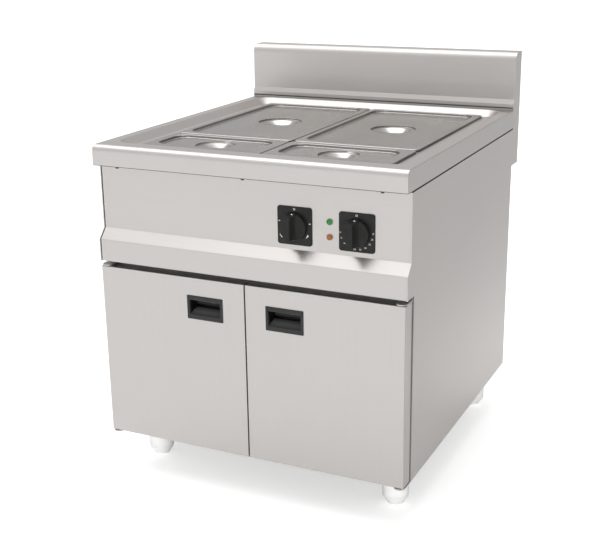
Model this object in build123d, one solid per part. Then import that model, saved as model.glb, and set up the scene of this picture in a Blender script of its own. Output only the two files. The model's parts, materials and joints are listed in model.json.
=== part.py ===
from build123d import *
import os
from math import atan2, degrees, hypot

# A floor-standing electric bain-marie: four covered gastronorm pans over a water tank, sunk
# in a worktop on a two-door cupboard. Millimetres. X runs right, Y to the back, Z up, and
# the origin is on the floor under the middle of the outline.

# Gastronorm pans set the outline: two long ones behind two short ones
GN_WIDE = 325.0               # both pan sizes, across
GN_LONG = 530.0               # rear pans, front to back
GN_SHORT = 176.0              # front pans, front to back
PAN_GAP = 2.0                 # between neighbouring pan rims
SIDE_STRIP = 74.0             # worktop beside the pans
FRONT_STRIP = 92.0            # worktop before the pans
BACK_STRIP = 34.0             # worktop behind the pans, up to the upstand
UPSTAND_DEPTH = 66.0          # front flange to rear face
HEIGHT = 850.0                # floor to worktop
FOOT_HEIGHT = 106.0           # floor to the underside of the cupboard

# Sheet thicknesses and clearances
TOP_SHEET = 1.5               # worktop, upstand and pan bars
SHEET = 1.0                   # cupboard, doors and tank
PAN_SHEET = 0.8               # pans and lids
SLIP = 0.5                    # between panels that slide into one another
SEAT = 0.2                    # under a loose piece
RUN = 0.05                    # round a pin or a shaft
EDGE = 1.5                    # outside radius of a tray's folded edge
BEND = 0.6                    # inside radius of a folded strip

# Worktop
APRON = 50.0                  # height of the turned-down edge
APRON_RETURN = 18.0           # fold under the front apron
FRONT_ROLL = 15.0             # radius of the front edge
RECESS_DEPTH = 17.0
RECESS_RUN = 20.0             # plan width of the sloped wall
RECESS_CORNER = 45.0
RECESS_BEND = 2.0             # radius at the recess's rim and floor
FLOOR_SIDE = 27.0             # recess floor beside the pans
FLOOR_FRONT = 22.0
FLOOR_BACK = 8.0

# Pans and lids
PAN_FLANGE = 12.0
PAN_BEARING = 9.0             # width of rim that rests on the worktop
PAN_LIP = 3.0                 # turned-down edge of the rim
PAN_DEPTH = 150.0
PAN_TAPER = 3.0               # wall angle, degrees
PAN_CORNER = 38.0
PAN_ROUND = 16.0              # between wall and bottom
RIM_CORNER = 14.0
LID_INSET = 1.0
LID_RISE = 4.0
BORDER_LONG = 17.0            # round the pressed panel of a rear lid
BORDER_SHORT = 24.0           # round the pressed panel of a front lid
LID_FALL = 1.2                # border, from the panel's rim to the lid's edge
LID_DROP = 6.5                # pressed panel, below its rim
LID_RUN = 2.5
LID_CORNER = 34.0
LID_EDGE = 2.0                # radius of the outer edge
LID_BEND = 1.5                # radius of the pressed panel's edges
DISH_LONG = 118.0             # finger dish of a rear lid
DISH_SHORT = 98.0             # finger dish of a front lid
DISH_STEP = 4.0               # depth of the outer ring
DISH_LEAN = 4.0               # slope of the outer ring's wall
DISH_DEPTH = 17.0
DISH_BEND = 1.8               # radius of the dish's edges
BOWL_RIM = 0.39               # bowl radius at its rim, as a share of the dish
BOWL_FLOOR = 0.30
HANDLE = 3.4                  # diameter of the bar across the bowl
HANDLE_FOOT = 8.0             # width of the bar's flattened ends
HANDLE_SHEET = 1.2            # thickness of the bar's flattened ends

# Tank, bars, heating and drain
TANK_DEPTH = 190.0
TANK_CORNER = 20.0
TANK_ROUND = 12.0
TANK_FLANGE = 12.0
BAR_HEIGHT = 15.0
ELEMENT = 8.5                 # tube diameter
ELEMENT_PITCH = 60.0
ELEMENT_LENGTH = 430.0
ELEMENT_START = 145.0         # from the front of the pans
ELEMENT_BEND = 28.0
ELEMENT_SHORT = 30.0          # middle loop, behind the ends
TERMINAL = 4.0                # element pin
TERMINAL_LENGTH = 18.0
CLAMP_WIDE = 16.0
CLAMP_FOOT = 14.0
CLAMP_FROM_END = 85.0         # from either end of an element
DRAIN_X = -190.0
DRAIN_BACK = 78.0             # from the tank's front wall
DRAIN = 27.0                  # pipe diameter
DRAIN_WALL = 3.0
DRAIN_DROP = 37.0             # tank to valve
DRAIN_FLANGE = 44.0           # inside the tank
DRAIN_FLANGE_SHEET = 2.0
LOCK_NUT = 38.0               # across flats
LOCK_NUT_HEIGHT = 9.0
VALVE_LENGTH = 56.0
VALVE_BALL = 44.0
VALVE_BARREL = 28.0
VALVE_HEX = 33.0
VALVE_HEX_HEIGHT = 13.0
VALVE_NECK = 15.0
SPOUT_LENGTH = 85.0
STEM_OUT = 32.0               # valve axis to lever
VALVE_STEM = 9.0
STEM_DEEP = 14.0
LEVER_LENGTH = 95.0
LEVER_WIDE = 18.0
LEVER_SHEET = 3.0
LEVER_NUT = 13.0
LEVER_NUT_HEIGHT = 4.0
GRIP_LENGTH = 52.0
GRIP_WIDE = 22.0
GRIP_THICK = 7.0

# Control panel, as heights of its faces from the apron down
PANEL_SETBACK = 28.0
PANEL_HEIGHT = 159.0
SLOPE_HEIGHT = 25.0
LIP_SETBACK = 5.5
LIP_HEIGHT = 55.0
LIP_RETURN = 26.0
PANEL_SHEET = 1.2
PANEL_GAP = 3.0               # to the left side panel; it is pushed up to the right one
DIAL_DROP = 103.0             # dial centres, below the apron
DIAL_SIDE = 127.0             # thermostat dial, from the worktop's side
DIAL_SPACING = 151.0          # switch dial to thermostat dial
DIAL_HOLE = 11.0
PLATE_WIDE = 85.0
PLATE_HIGH = 89.0
PLATE = 3.0
PLATE_CORNER = 6.0
PLATE_HOLE = 9.0
KNOB = 65.0                   # diameter
KNOB_SKIRT = 8.0
KNOB_HEIGHT = 24.0
KNOB_GRIP = 56.0              # length of the grip
KNOB_SCOOP = 80.0             # radius of its hollow sides
KNOB_WAIST = 13.0             # grip, at its narrowest
KNOB_DRAFT = 2.0              # base radius less top radius
KNOB_EASE = 1.2               # rounding of the grip
KNOB_BORE = 15.0              # depth
SPINDLE = 6.0
SPINDLE_DEEP = 8.0            # into the switch
SPINDLE_PLAY = 1.0            # left at either end of its bores
NECK = 20.0                   # switch and thermostat, through to the panel
NECK_LENGTH = 6.0
SWITCH_BODY = 48.0
SWITCH_DEEP = 52.0
THERMOSTAT_BODY = 46.0
THERMOSTAT_DEEP = 40.0
CAPILLARY = 2.0
CAPILLARY_BEND = 15.0
CAPILLARY_SHIFT = 12.0        # from the thermostat's middle
BULB = 6.0
BULB_LENGTH = 90.0
BULB_START = 170.0            # from the front of the pans
LAMP = 15.0                   # flange diameter
LAMP_FLANGE = 1.5
LAMP_LENS = 13.0
LAMP_DOME = 3.0
LAMP_EASE = 1.8
LAMP_BARREL = 12.0
LAMP_DEEP = 30.0
LAMP_SHIFT = 10.0             # from midway between the dials
LAMP_SPREAD = 35.0
SCREW_SIDE = 62.0             # panel screws, from the worktop's side
SCREW_BACK = 12.0             # panel screws, from the worktop's front
PANEL_TOP_FOLD = 22.0         # control panel, forwards under the apron
SCREW = 4.6
SCREW_HOLE = 5.0
SCREW_HEAD = 9.0
SCREW_HEAD_HEIGHT = 2.6
SCREW_LENGTH = 9.0

# Doors and hinges
LIP_GAP = 13.0                # lip to door
DOOR_SETBACK = 4.0
DOOR = 41.5                   # thickness
DOOR_INSET = 3.0              # from the worktop's side
DOOR_GAP = 3.0                # between the doors
DOOR_CLEAR = 1.0              # left behind the door's corner as it swings
PIVOT_EDGE = 12.5             # hinge axis, from the door's side
PIVOT_FACE = 12.0             # hinge axis, from the door's front
PIVOT_GAP = 1.5               # door to hinge plate
PIN = 8.0
BUSH = 12.0
BUSH_LENGTH = 12.0
BUSH_COLLAR = 18.0
PIN_DEEP = 11.0               # into the door
HINGE_PLATE = 3.0
HINGE_NOSE = 13.7             # radius of the plate's end
HINGE_TAB = 24.0              # top hinge, above the lip's edge
HINGE_REACH = 45.0            # bottom hinge, behind the door
LINER_FOLD = 14.0
MAGNET_X = 46.0
MAGNET_WIDE = 44.0
MAGNET_HIGH = 16.0
MAGNET_DROP = 22.0            # below the door's top
RAIL_ABOVE = 28.0             # front rail, above the lip's edge
RAIL_BELOW = 36.0             # front rail, below the door's top
PULL_WIDE = 96.0
PULL_HIGH = 56.0
PULL_X = 105.0                # from the middle of the row
PULL_DROP = 74.0              # below the door's top
PULL_DEPTH = 33.0
PULL_SLOT = 10.0              # height of the deeper slot at the back
PULL_WALL = 2.0
PULL_FACE = 1.5               # face frame, ahead of the door
PULL_CORNER = 5.0
PULL_SIDE = 6.0               # frame beside the opening
PULL_LOW = 13.0               # frame under the opening
PULL_HEAD = 11.0              # frame over the opening
PULL_STEP = 4.0               # slot, behind the recess

# Upstand and feet
UPSTAND_RISE = 155.0
UPSTAND_DROP = 155.0
UPSTAND_KICK = 6.0            # lower flange, ahead of the face
UPSTAND_GAP = 8.0             # lower flange, above the worktop
UPSTAND_SLOT = 4.0            # open under the flange
UPSTAND_FLANGE = 9.0
UPSTAND_SLOPE = 12.0
UPSTAND_ROUND = 22.0
LEG = 61.0                    # sleeve diameter
TIP_HEIGHT = 24.0             # turning foot, below the sleeve
TIP = 42.0                    # diameter on the floor
STEM = 28.0
STEM_LENGTH = 62.0
STEM_PLAY = 3.0               # over the stem
TIP_PAD = 5.0                 # straight part at the floor
LEG_PLUG = 47.0
LEG_SIDE = 67.0               # from the worktop's side
LEG_FRONT = 129.0             # from the worktop's front
LEG_BACK = 76.0               # from the cupboard's back
FOLD = 20.0                   # flanges of the cupboard sheets
HEM = 3.0                     # thickness of a side panel's folded front edge
HEM_DEEP = 10.0
GROOVE = 3.0                  # between the side apron and the side panel
GROOVE_DEEP = 8.0
VENTS = 8                     # slots in the back panel
VENT_PITCH = 66.0
VENT_WIDE = 40.0
VENT_HIGH = 8.0
VENT_DROP = 220.0             # below the worktop

# Supply at the back
INLET_SIDE = 110.0            # from the worktop's side
INLET_RISE = 95.0             # above the cupboard's underside
GLAND = 24.0                  # threaded part
GLAND_BORE = 14.0
GLAND_HEX = 30.0
GLAND_NUT = 7.0               # inside nut
GLAND_COLLAR = 10.0           # outside hexagon
GLAND_CAP = 27.0
GLAND_OUT = 26.0
GLAND_IN = 14.0
STUD = 8.0
STUD_HEX = 13.0
STUD_NUT = 6.5
STUD_OUT = 24.0
STUD_IN = 12.0
BLOCK_RISE = 105.0            # terminal block, above the inlet
BLOCK_WIDE = 72.0
BLOCK_HIGH = 24.0
BLOCK_BASE = 12.0
BLOCK_TOWER = 10.0
BLOCK_TOWER_HIGH = 16.0
BLOCK_PITCH = 13.0
BACK_SCREW = 4.2
BACK_SCREW_HEAD = 8.0
BACK_SCREW_HEIGHT = 2.4
BACK_SCREW_END = 65.0         # from either end of the row of screws

# Outline that follows from the sizes above
FIELD_WIDE = 2 * GN_WIDE + PAN_GAP
FIELD_LONG = GN_LONG + GN_SHORT + PAN_GAP
WIDTH = FIELD_WIDE + 2 * SIDE_STRIP
DEPTH = FRONT_STRIP + FIELD_LONG + BACK_STRIP + UPSTAND_DEPTH
FRONT = -DEPTH / 2
BACK = DEPTH / 2
REAR = BACK - UPSTAND_DEPTH + UPSTAND_KICK     # back of the worktop
FLOOR = HEIGHT - RECESS_DEPTH                  # recess floor
RIM = FLOOR + SEAT + PAN_LIP                   # top of the pan rims
FIELD_FRONT = FRONT + FRONT_STRIP
FIELD_BACK = FIELD_FRONT + FIELD_LONG
FIELD_MIDDLE = (FIELD_FRONT + FIELD_BACK) / 2
SPLIT = FIELD_FRONT + GN_SHORT + PAN_GAP / 2
COLUMN = (GN_WIDE + PAN_GAP) / 2               # middle of a pan, from the centre line
ROWS = {GN_SHORT: FIELD_FRONT + GN_SHORT / 2, GN_LONG: FIELD_BACK - GN_LONG / 2}
WELL_WIDE = FIELD_WIDE - 2 * PAN_BEARING
WELL_LONG = FIELD_LONG - 2 * PAN_BEARING
TANK_TOP = FLOOR - TOP_SHEET
TANK_INSIDE = FLOOR - TANK_DEPTH
TANK_UNDER = TANK_INSIDE - SHEET
SIDE = WIDTH / 2                               # outer face of a side panel, flush with the apron
INSIDE = SIDE - SHEET
CROSS = INSIDE - SLIP                          # end of a sheet between the sides
PANEL_LEFT = HEM + PANEL_GAP - SIDE            # ends of the control panel
PANEL_RIGHT = SIDE - HEM - SEAT
APRON_UNDER = HEIGHT - APRON
PANEL_FACE = FRONT + PANEL_SETBACK
PANEL_END = APRON_UNDER - PANEL_HEIGHT
LIP_TOP = PANEL_END - SLOPE_HEIGHT
LIP_END = LIP_TOP - LIP_HEIGHT
LIP_FACE = FRONT + LIP_SETBACK
DIAL_Z = APRON_UNDER - DIAL_DROP
THERMO_X = WIDTH / 2 - DIAL_SIDE
DIAL_X = THERMO_X - DIAL_SPACING
LAMP_X = DIAL_X + DIAL_SPACING / 2 + LAMP_SHIFT
DOOR_TOP = LIP_END - LIP_GAP
DOOR_END = FOOT_HEIGHT + PIVOT_GAP
DOOR_FACE = FRONT + DOOR_SETBACK
DOOR_BACK = DOOR_FACE + DOOR
DOOR_SIDE = WIDTH / 2 - DOOR_INSET
PIVOT_X = DOOR_SIDE - PIVOT_EDGE
PIVOT_Y = DOOR_FACE + PIVOT_FACE
CUPBOARD = PIVOT_Y + hypot(PIVOT_EDGE, DOOR - PIVOT_FACE) + DOOR_CLEAR
SIDE_BACK = REAR - TOP_SHEET - SLIP
BASE_TOP = FOOT_HEIGHT + FOLD
PULL_Z = DOOR_TOP - PULL_DROP
PULL_FLOOR = PULL_Z - PULL_HIGH / 2 + PULL_LOW
PULL_ROOF = PULL_Z + PULL_HIGH / 2 - PULL_HEAD
PULL_HALF = PULL_WIDE / 2 - PULL_SIDE
DRAIN_Y = FIELD_FRONT + PAN_BEARING + DRAIN_BACK
VALVE_TOP = TANK_UNDER - DRAIN_DROP
VALVE_END = VALVE_TOP - VALVE_LENGTH
VALVE_Z = (VALVE_TOP + VALVE_END) / 2
LEVER_Y = DRAIN_Y - STEM_OUT
BASE_LEGS = [(x, y) for x in (LEG_SIDE - WIDTH / 2, WIDTH / 2 - LEG_SIDE)
             for y in (FRONT + LEG_FRONT, REAR - LEG_BACK)]
INLET_X = WIDTH / 2 - INLET_SIDE
INLET_Z = FOOT_HEIGHT + INLET_RISE
STUD_X = -INLET_X


# Shapes that several pieces share

def block(x, y, z):
    """Box between two limits on each axis."""
    size = [high - low for low, high in (x, y, z)]
    middle = [(high + low) / 2 for low, high in (x, y, z)]
    return Pos(*middle) * Box(*size)


def rod(diameter, start, end):
    """Round bar from one point to another."""
    way = Vector(*end) - Vector(*start)
    align = (Align.CENTER, Align.CENTER, Align.MIN)
    return Plane(origin=start, z_dir=way) * Cylinder(diameter / 2, way.length, align=align)


def nut(flats, start, end):
    """Hexagon bar from one point to another."""
    way = Vector(*end) - Vector(*start)
    hexagon = RegularPolygon(flats / 2, 6, major_radius=False)
    return extrude(Plane(origin=start, z_dir=way) * hexagon, way.length)


def slab(middle, outline, z):
    """Upright plate with rounded corners; the outline is width, length and corner."""
    return extrude(Pos(middle[0], middle[1], z[0]) * RectangleRounded(*outline), z[1] - z[0])


def tub(middle, outline, z, run):
    """Sloped hollow, as wide as the outline at its rim and narrower by the run at its floor."""
    depth = z[1] - z[0]
    mouth = Pos(middle[0], middle[1], z[1]) * RectangleRounded(*outline)
    return extrude(mouth, depth, dir=(0, 0, -1), taper=degrees(atan2(run, depth)))


def pressed(middle, outline, z, run, bend):
    """Tub with rounded bends at its floor and its rim, and a thin slab over the rim."""
    half = (outline[0] / 2, outline[1] / 2)
    sides = [(at - reach - 2 * bend, at + reach + 2 * bend) for at, reach in zip(middle, half)]
    shape = tub(middle, outline, z, run) + block(*sides, (z[1], z[1] + bend))
    bends = shape.edges().filter_by_position(Axis.Z, z[0], z[0])
    for edge in shape.edges().filter_by_position(Axis.Z, z[1], z[1]):
        across = edge.center() - Vector(middle[0], middle[1], z[1])
        if abs(across.X) < half[0] + bend and abs(across.Y) < half[1] + bend:
            bends.append(edge)
    return fillet(bends, bend)


def grown(outline, by):
    """Outline with every side, and its corner, moved outwards."""
    return (outline[0] + 2 * by, outline[1] + 2 * by, outline[2] + by)


def fold_face(points, sheet):
    """Section of a folded sheet: the points are one face, and the metal lies to their left."""
    path = [Vector(*point) for point in points]
    ways = [(end - start).normalized() for start, end in zip(path, path[1:])]
    lefts = [Vector(-way.Y, way.X) for way in ways]
    inner = []
    for index, point in enumerate(path):
        before = lefts[max(index - 1, 0)]
        after = lefts[min(index, len(lefts) - 1)]
        inner.append(point + (before + after) * (sheet / (1 + before.dot(after))))
    face = make_face(Polyline(*path, *reversed(inner), close=True))
    for index in range(1, len(path) - 1):
        turns_left = ways[index].dot(lefts[index - 1]) > 0
        tight, wide = (inner, path) if turns_left else (path, inner)
        face = fillet(face.vertices().sort_by_distance(tight[index])[0], BEND)
        face = fillet(face.vertices().sort_by_distance(wide[index])[0], BEND + sheet)
    return face


def folded(points, sheet, x):
    """Folded sheet that runs across the part; its points are (y, z)."""
    return extrude(Plane.YZ.offset(x[0]) * fold_face(points, sheet), x[1] - x[0])


def folded_back(points, sheet, y):
    """Folded sheet that runs front to back; its points are (x, z)."""
    return extrude(Plane.XZ.offset(-y[0]) * fold_face(points, sheet), y[0] - y[1])


def both_sides(solid):
    """A right-hand solid and its mirror image."""
    return Compound([solid.solid(), mirror(solid, about=Plane.YZ).solid()])


# Worktop, tank and bars

def recess():
    """Middle and rim outline of the sunk part of the worktop."""
    wide = FIELD_WIDE + 2 * (FLOOR_SIDE + RECESS_RUN)
    long = FIELD_LONG + FLOOR_FRONT + FLOOR_BACK + 2 * RECESS_RUN
    middle = (0, FIELD_MIDDLE + (FLOOR_BACK - FLOOR_FRONT) / 2)
    return middle, (wide, long, RECESS_CORNER)


def apron_box():
    """Outside of the worktop before it is pressed, with its rolled front and folded ends."""
    half = WIDTH / 2
    box = block((-half, half), (FRONT, REAR), (APRON_UNDER, HEIGHT))
    top = box.edges().group_by(Axis.Z)[-1]
    box = fillet(top.filter_by(Axis.X).sort_by(Axis.Y)[0], FRONT_ROLL)
    ends = box.edges().group_by(Axis.X)
    rims = [edge for edge in ends[0] + ends[-1]
            if edge.center().Z > APRON_UNDER + SEAT and edge.center().Y < REAR - SEAT]
    return fillet(rims, EDGE)


def well(by, z):
    """Outline of the well, grown by a distance, between two heights."""
    return slab((0, FIELD_MIDDLE), grown((WELL_WIDE, WELL_LONG, TANK_CORNER), by), z)


def worktop():
    half = WIDTH / 2 - TOP_SHEET
    inner = block((-half, half), (FRONT + TOP_SHEET, REAR - TOP_SHEET),
                  (APRON_UNDER - 1, HEIGHT - TOP_SHEET))
    top = inner.edges().group_by(Axis.Z)[-1]
    inner = fillet(top.filter_by(Axis.X).sort_by(Axis.Y)[0], FRONT_ROLL - TOP_SHEET)
    returned = block((-half, half), (FRONT + TOP_SHEET, FRONT + APRON_RETURN),
                     (APRON_UNDER, APRON_UNDER + TOP_SHEET))
    middle, rim = recess()
    under = tub(middle, rim, (FLOOR - TOP_SHEET, HEIGHT - TOP_SHEET), RECESS_RUN)
    sheet = apron_box() - inner + returned + under
    sheet -= pressed(middle, rim, (FLOOR, HEIGHT), RECESS_RUN, RECESS_BEND)
    sheet -= well(0, (FLOOR - 2 * TOP_SHEET, FLOOR + 1))
    for x in panel_screw_places():
        y = FRONT + SCREW_BACK
        sheet -= rod(SCREW_HOLE, (x, y, APRON_UNDER - 1), (x, y, APRON_UNDER + 2 * TOP_SHEET))
    return sheet


def tank_floor():
    """Flat bottom of the tank, welded inside the bend at the foot of its walls."""
    sheet = well(-TANK_ROUND, (TANK_UNDER, TANK_INSIDE))
    return sheet - rod(DRAIN + 2 * RUN, (DRAIN_X, DRAIN_Y, TANK_UNDER - 1),
                       (DRAIN_X, DRAIN_Y, TANK_INSIDE + 1))


def tank_walls():
    outer = well(SHEET, (TANK_UNDER, TANK_TOP))
    outer = fillet(outer.edges().group_by(Axis.Z)[0], TANK_ROUND)
    inner = well(0, (TANK_INSIDE, TANK_TOP))
    inner = fillet(inner.edges().group_by(Axis.Z)[0], TANK_ROUND - SHEET)
    flange = well(TANK_FLANGE, (TANK_TOP - SHEET, TANK_TOP))
    seam = well(-TANK_ROUND, (TANK_UNDER - 1, TANK_INSIDE + 1))
    return outer + flange - inner - seam


def channel(half):
    """Section of a pan bar: a flat top between two turned-down sides."""
    low = FLOOR - BAR_HEIGHT
    return [(half, low), (half, FLOOR), (-half, FLOOR), (-half, low)]


def pan_bars():
    half = PAN_GAP / 2 + PAN_BEARING
    end = WELL_WIDE / 2
    cross = folded([(SPLIT + y, z) for y, z in channel(half)], TOP_SHEET, (-end, end))
    front = folded_back(channel(half), TOP_SHEET, (FIELD_FRONT + PAN_BEARING, SPLIT - half))
    back = folded_back(channel(half), TOP_SHEET, (SPLIT + half, FIELD_BACK - PAN_BEARING))
    return Compound([cross.solid(), front.solid(), back.solid()])


# Pans and lids

def pan_body(middle, outline, top, depth, rounding):
    """Tapered pan shape, down from its mouth."""
    mouth = Pos(middle[0], middle[1], top) * RectangleRounded(*outline)
    body = extrude(mouth, depth, dir=(0, 0, -1), taper=PAN_TAPER)
    return fillet(body.edges().group_by(Axis.Z)[0], rounding)


def pan(column, length):
    middle = (column, ROWS[length])
    rim = (GN_WIDE, length, RIM_CORNER)
    mouth = (GN_WIDE - 2 * PAN_FLANGE, length - 2 * PAN_FLANGE, PAN_CORNER)
    flange = slab(middle, rim, (RIM - PAN_LIP, RIM))
    flange -= slab(middle, grown(rim, -PAN_SHEET), (RIM - PAN_LIP, RIM - PAN_SHEET))
    outer = pan_body(middle, grown(mouth, PAN_SHEET), RIM, PAN_DEPTH, PAN_ROUND)
    inner = pan_body(middle, mouth, RIM, PAN_DEPTH - PAN_SHEET, PAN_ROUND - PAN_SHEET)
    return flange + outer - inner


def dish(middle, diameter, top):
    """Stepped finger dish, a shallow ring round a deeper bowl, with a thin disc over its rim."""
    radius = diameter / 2
    points = [(0, -DISH_DEPTH), (diameter * BOWL_FLOOR, -DISH_DEPTH), (diameter * BOWL_RIM, -DISH_STEP),
              (radius - DISH_LEAN, -DISH_STEP), (radius, 0), (radius + 2 * DISH_BEND, 0),
              (radius + 2 * DISH_BEND, DISH_BEND), (0, DISH_BEND)]
    section = make_face(Polyline(*points, close=True))
    bends = [section.vertices().sort_by_distance(point)[0] for point in points[1:5]]
    section = Plane.XZ * fillet(bends, DISH_BEND)
    return Pos(middle[0], middle[1], top) * revolve(section, Axis.Z)


def crown(middle, low, high, z):
    """Low hill between two outlines."""
    ends = [Pos(middle[0], middle[1], at) * RectangleRounded(*outline)
            for outline, at in zip((low, high), z)]
    return loft(ends, ruled=True)


def hat(middle, edge, border, z):
    """Outside of a lid before it is pressed: an upright edge under a border that falls outwards."""
    shoulder = z[1] - LID_FALL
    turn = LID_EDGE - (GN_WIDE - 2 * LID_INSET - edge[0]) / 2
    rim = slab(middle, edge, (z[0], shoulder))
    rim = fillet(rim.edges().group_by(Axis.Z)[-1], turn)
    return rim + crown(middle, grown(edge, -turn), border, (shoulder, z[1]))


def handle(middle, diameter, level):
    """Thin bar across the bowl of a dish, flattened where it is spot-welded to the ring."""
    column, row = middle
    seat = level - DISH_STEP
    height = seat + SEAT + HANDLE / 2
    start = diameter * BOWL_RIM + DISH_BEND
    end = diameter / 2 - DISH_LEAN - DISH_BEND
    tip = end - HANDLE_SHEET
    bar = rod(HANDLE, (column - tip, row, height), (column + tip, row, height))
    for side in (-1, 1):
        x = sorted((column + side * start, column + side * end))
        bar += block(x, (row - HANDLE_FOOT / 2, row + HANDLE_FOOT / 2), (seat, seat + HANDLE_SHEET))
    return bar


def lid(column, length):
    middle = (column, ROWS[length])
    rear = length == GN_LONG
    diameter = DISH_LONG if rear else DISH_SHORT
    around = BORDER_LONG if rear else BORDER_SHORT
    low = RIM + SEAT
    top = low + LID_RISE
    level = top - LID_DROP
    edge = grown((GN_WIDE, length, RIM_CORNER), -LID_INSET)
    border = (edge[0] - 2 * around, edge[1] - 2 * around, LID_CORNER)
    wall = PAN_SHEET * (hypot(LID_RUN, LID_DROP) - LID_RUN) / LID_DROP
    sheet = hat(middle, edge, border, (low, top))
    sheet -= hat(middle, grown(edge, -PAN_SHEET), border, (low, top - PAN_SHEET))
    sheet += tub(middle, grown(border, wall), (level - PAN_SHEET, top - PAN_SHEET), LID_RUN)
    finger = dish(middle, diameter, level)
    sheet += Pos(0, 0, -PAN_SHEET) * finger
    sheet -= pressed(middle, border, (level, top), LID_RUN, LID_BEND) + finger
    return Compound([sheet.solid(), handle(middle, diameter, level).solid()])


# Upstand

def upstand_outline(inset, low=HEIGHT + UPSTAND_GAP):
    """Section of the upstand box as (y, z), moved inwards by the sheet; the flange ends low."""
    face = REAR
    kick = REAR - UPSTAND_KICK
    flange = HEIGHT + UPSTAND_GAP + UPSTAND_FLANGE
    slope = flange + UPSTAND_SLOPE
    top = HEIGHT + UPSTAND_RISE
    end = HEIGHT - UPSTAND_DROP
    points = [(face, end), (BACK, end), (BACK, top), (face, top), (face, slope), (kick, flange),
              (kick, low), (face, low)]
    section = make_face(Polyline(*points, close=True))
    if inset:
        points = [(face + inset, end + inset), (BACK - inset, end + inset), (BACK - inset, top - inset),
                  (face + inset, top - inset)]
        section = make_face(Polyline(*points, close=True))
    corner = section.vertices().group_by(Axis.Y)[-1].sort_by(Axis.X)[0]
    return fillet(corner, UPSTAND_ROUND - inset)


def upstand_shell():
    end = WIDTH / 2 - TOP_SHEET
    outer = extrude(Plane.YZ.offset(-end) * upstand_outline(0), 2 * end)
    inner = extrude(Plane.YZ.offset(-end) * upstand_outline(TOP_SHEET), 2 * end)
    under = HEIGHT + UPSTAND_GAP
    slot = block((-end, end), (REAR - 1, REAR + 2 * TOP_SHEET), (under - UPSTAND_SLOT, under))
    return outer - inner - slot


def upstand_cheeks():
    section = Plane.YZ.offset(WIDTH / 2 - TOP_SHEET) * upstand_outline(0, HEIGHT + SLIP)
    return both_sides(extrude(section, TOP_SHEET))


# Cupboard sheets

def side_panel():
    """Right side panel: a stepped sheet with folded flanges, a hemmed front and a groove at its top."""
    top = HEIGHT - TOP_SHEET
    groove = APRON_UNDER - GROOVE
    inner = SIDE - GROOVE_DEEP
    front = [(PANEL_FACE, groove), (PANEL_FACE, PANEL_END), (LIP_FACE, LIP_TOP), (LIP_FACE, LIP_END)]
    points = front + [(CUPBOARD, LIP_END), (CUPBOARD, FOOT_HEIGHT), (REAR, FOOT_HEIGHT), (REAR, groove)]
    sheet = extrude(Plane.YZ.offset(INSIDE) * make_face(Polyline(*points, close=True)), SHEET)
    points = front + [(y + HEM_DEEP, z) for y, z in reversed(front)]
    sheet += extrude(Plane.YZ.offset(SIDE - HEM) * make_face(Polyline(*points, close=True)), HEM)
    fold = (SIDE - FOLD, SIDE)
    upper = (PANEL_FACE + HEM_DEEP, SIDE_BACK)
    sheet += block((inner, SIDE), upper, (groove - SHEET, groove))
    sheet += block((inner, inner + SHEET), upper, (groove - SHEET, top))
    sheet += block((SIDE - FOLD, inner + SHEET), upper, (top - SHEET, top))
    sheet += block(fold, (CUPBOARD, SIDE_BACK), (FOOT_HEIGHT, FOOT_HEIGHT + SHEET))
    sheet += block(fold, (CUPBOARD, CUPBOARD + SHEET), (FOOT_HEIGHT, DOOR_TOP - HINGE_PLATE))
    sheet += block(fold, (SIDE_BACK - SHEET, SIDE_BACK), (FOOT_HEIGHT, groove))
    return sheet


def back_panel():
    front = SIDE_BACK
    sheet = block((-CROSS, CROSS), (front, front + SHEET), (FOOT_HEIGHT, APRON_UNDER - SLIP))
    for x, z, size in ((INLET_X, INLET_Z, GLAND), (STUD_X, INLET_Z, STUD)):
        sheet -= rod(size + 2 * RUN, (x, front - 1, z), (x, front + SHEET + 1, z))
    for index in range(VENTS):
        x = (index - (VENTS - 1) / 2) * VENT_PITCH
        sheet -= block((x - VENT_WIDE / 2, x + VENT_WIDE / 2), (front - 1, front + SHEET + 1),
                       (HEIGHT - VENT_DROP - VENT_HIGH, HEIGHT - VENT_DROP))
    for x, z in back_screw_places():
        sheet -= rod(BACK_SCREW + 2 * RUN, (x, front - 1, z), (x, front + SHEET + 1, z))
    return sheet


def base_tray():
    low = FOOT_HEIGHT + SHEET
    front = CUPBOARD + SHEET + SLIP
    back = SIDE_BACK - SHEET - SLIP
    return folded([(front, low), (front, BASE_TOP), (back, BASE_TOP), (back, low)][::-1], SHEET,
                  (-CROSS, CROSS))


def front_rail():
    """Channel behind the lip that carries the top hinges and the magnets."""
    front = CUPBOARD + SHEET
    top = LIP_END + RAIL_ABOVE
    low = DOOR_TOP - RAIL_BELOW
    points = [(front + FOLD, top), (front, top), (front, low), (front + FOLD, low)]
    return folded(points, TOP_SHEET, (-CROSS, CROSS))


# Control panel and its fittings

def panel_screw_places():
    return [SCREW_SIDE - WIDTH / 2, 0.0, WIDTH / 2 - SCREW_SIDE]


def control_panel():
    low = APRON_UNDER - PANEL_SHEET
    points = [(PANEL_FACE - PANEL_TOP_FOLD, low), (PANEL_FACE, low), (PANEL_FACE, PANEL_END),
              (LIP_FACE, LIP_TOP), (LIP_FACE, LIP_END), (LIP_FACE + LIP_RETURN, LIP_END)]
    sheet = folded(points, PANEL_SHEET, (PANEL_LEFT, PANEL_RIGHT))
    near = PANEL_FACE - 1
    far = PANEL_FACE + 2 * PANEL_SHEET
    for x in (DIAL_X, THERMO_X):
        sheet -= rod(DIAL_HOLE, (x, near, DIAL_Z), (x, far, DIAL_Z))
    for side in (-1, 1):
        z = DIAL_Z + side * LAMP_SPREAD / 2
        sheet -= rod(LAMP_BARREL + 2 * RUN, (LAMP_X, near, z), (LAMP_X, far, z))
    for x in panel_screw_places():
        y = FRONT + SCREW_BACK
        sheet -= rod(SCREW_HOLE, (x, y, low - 1), (x, y, low + 2 * PANEL_SHEET))
    return sheet


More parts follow.
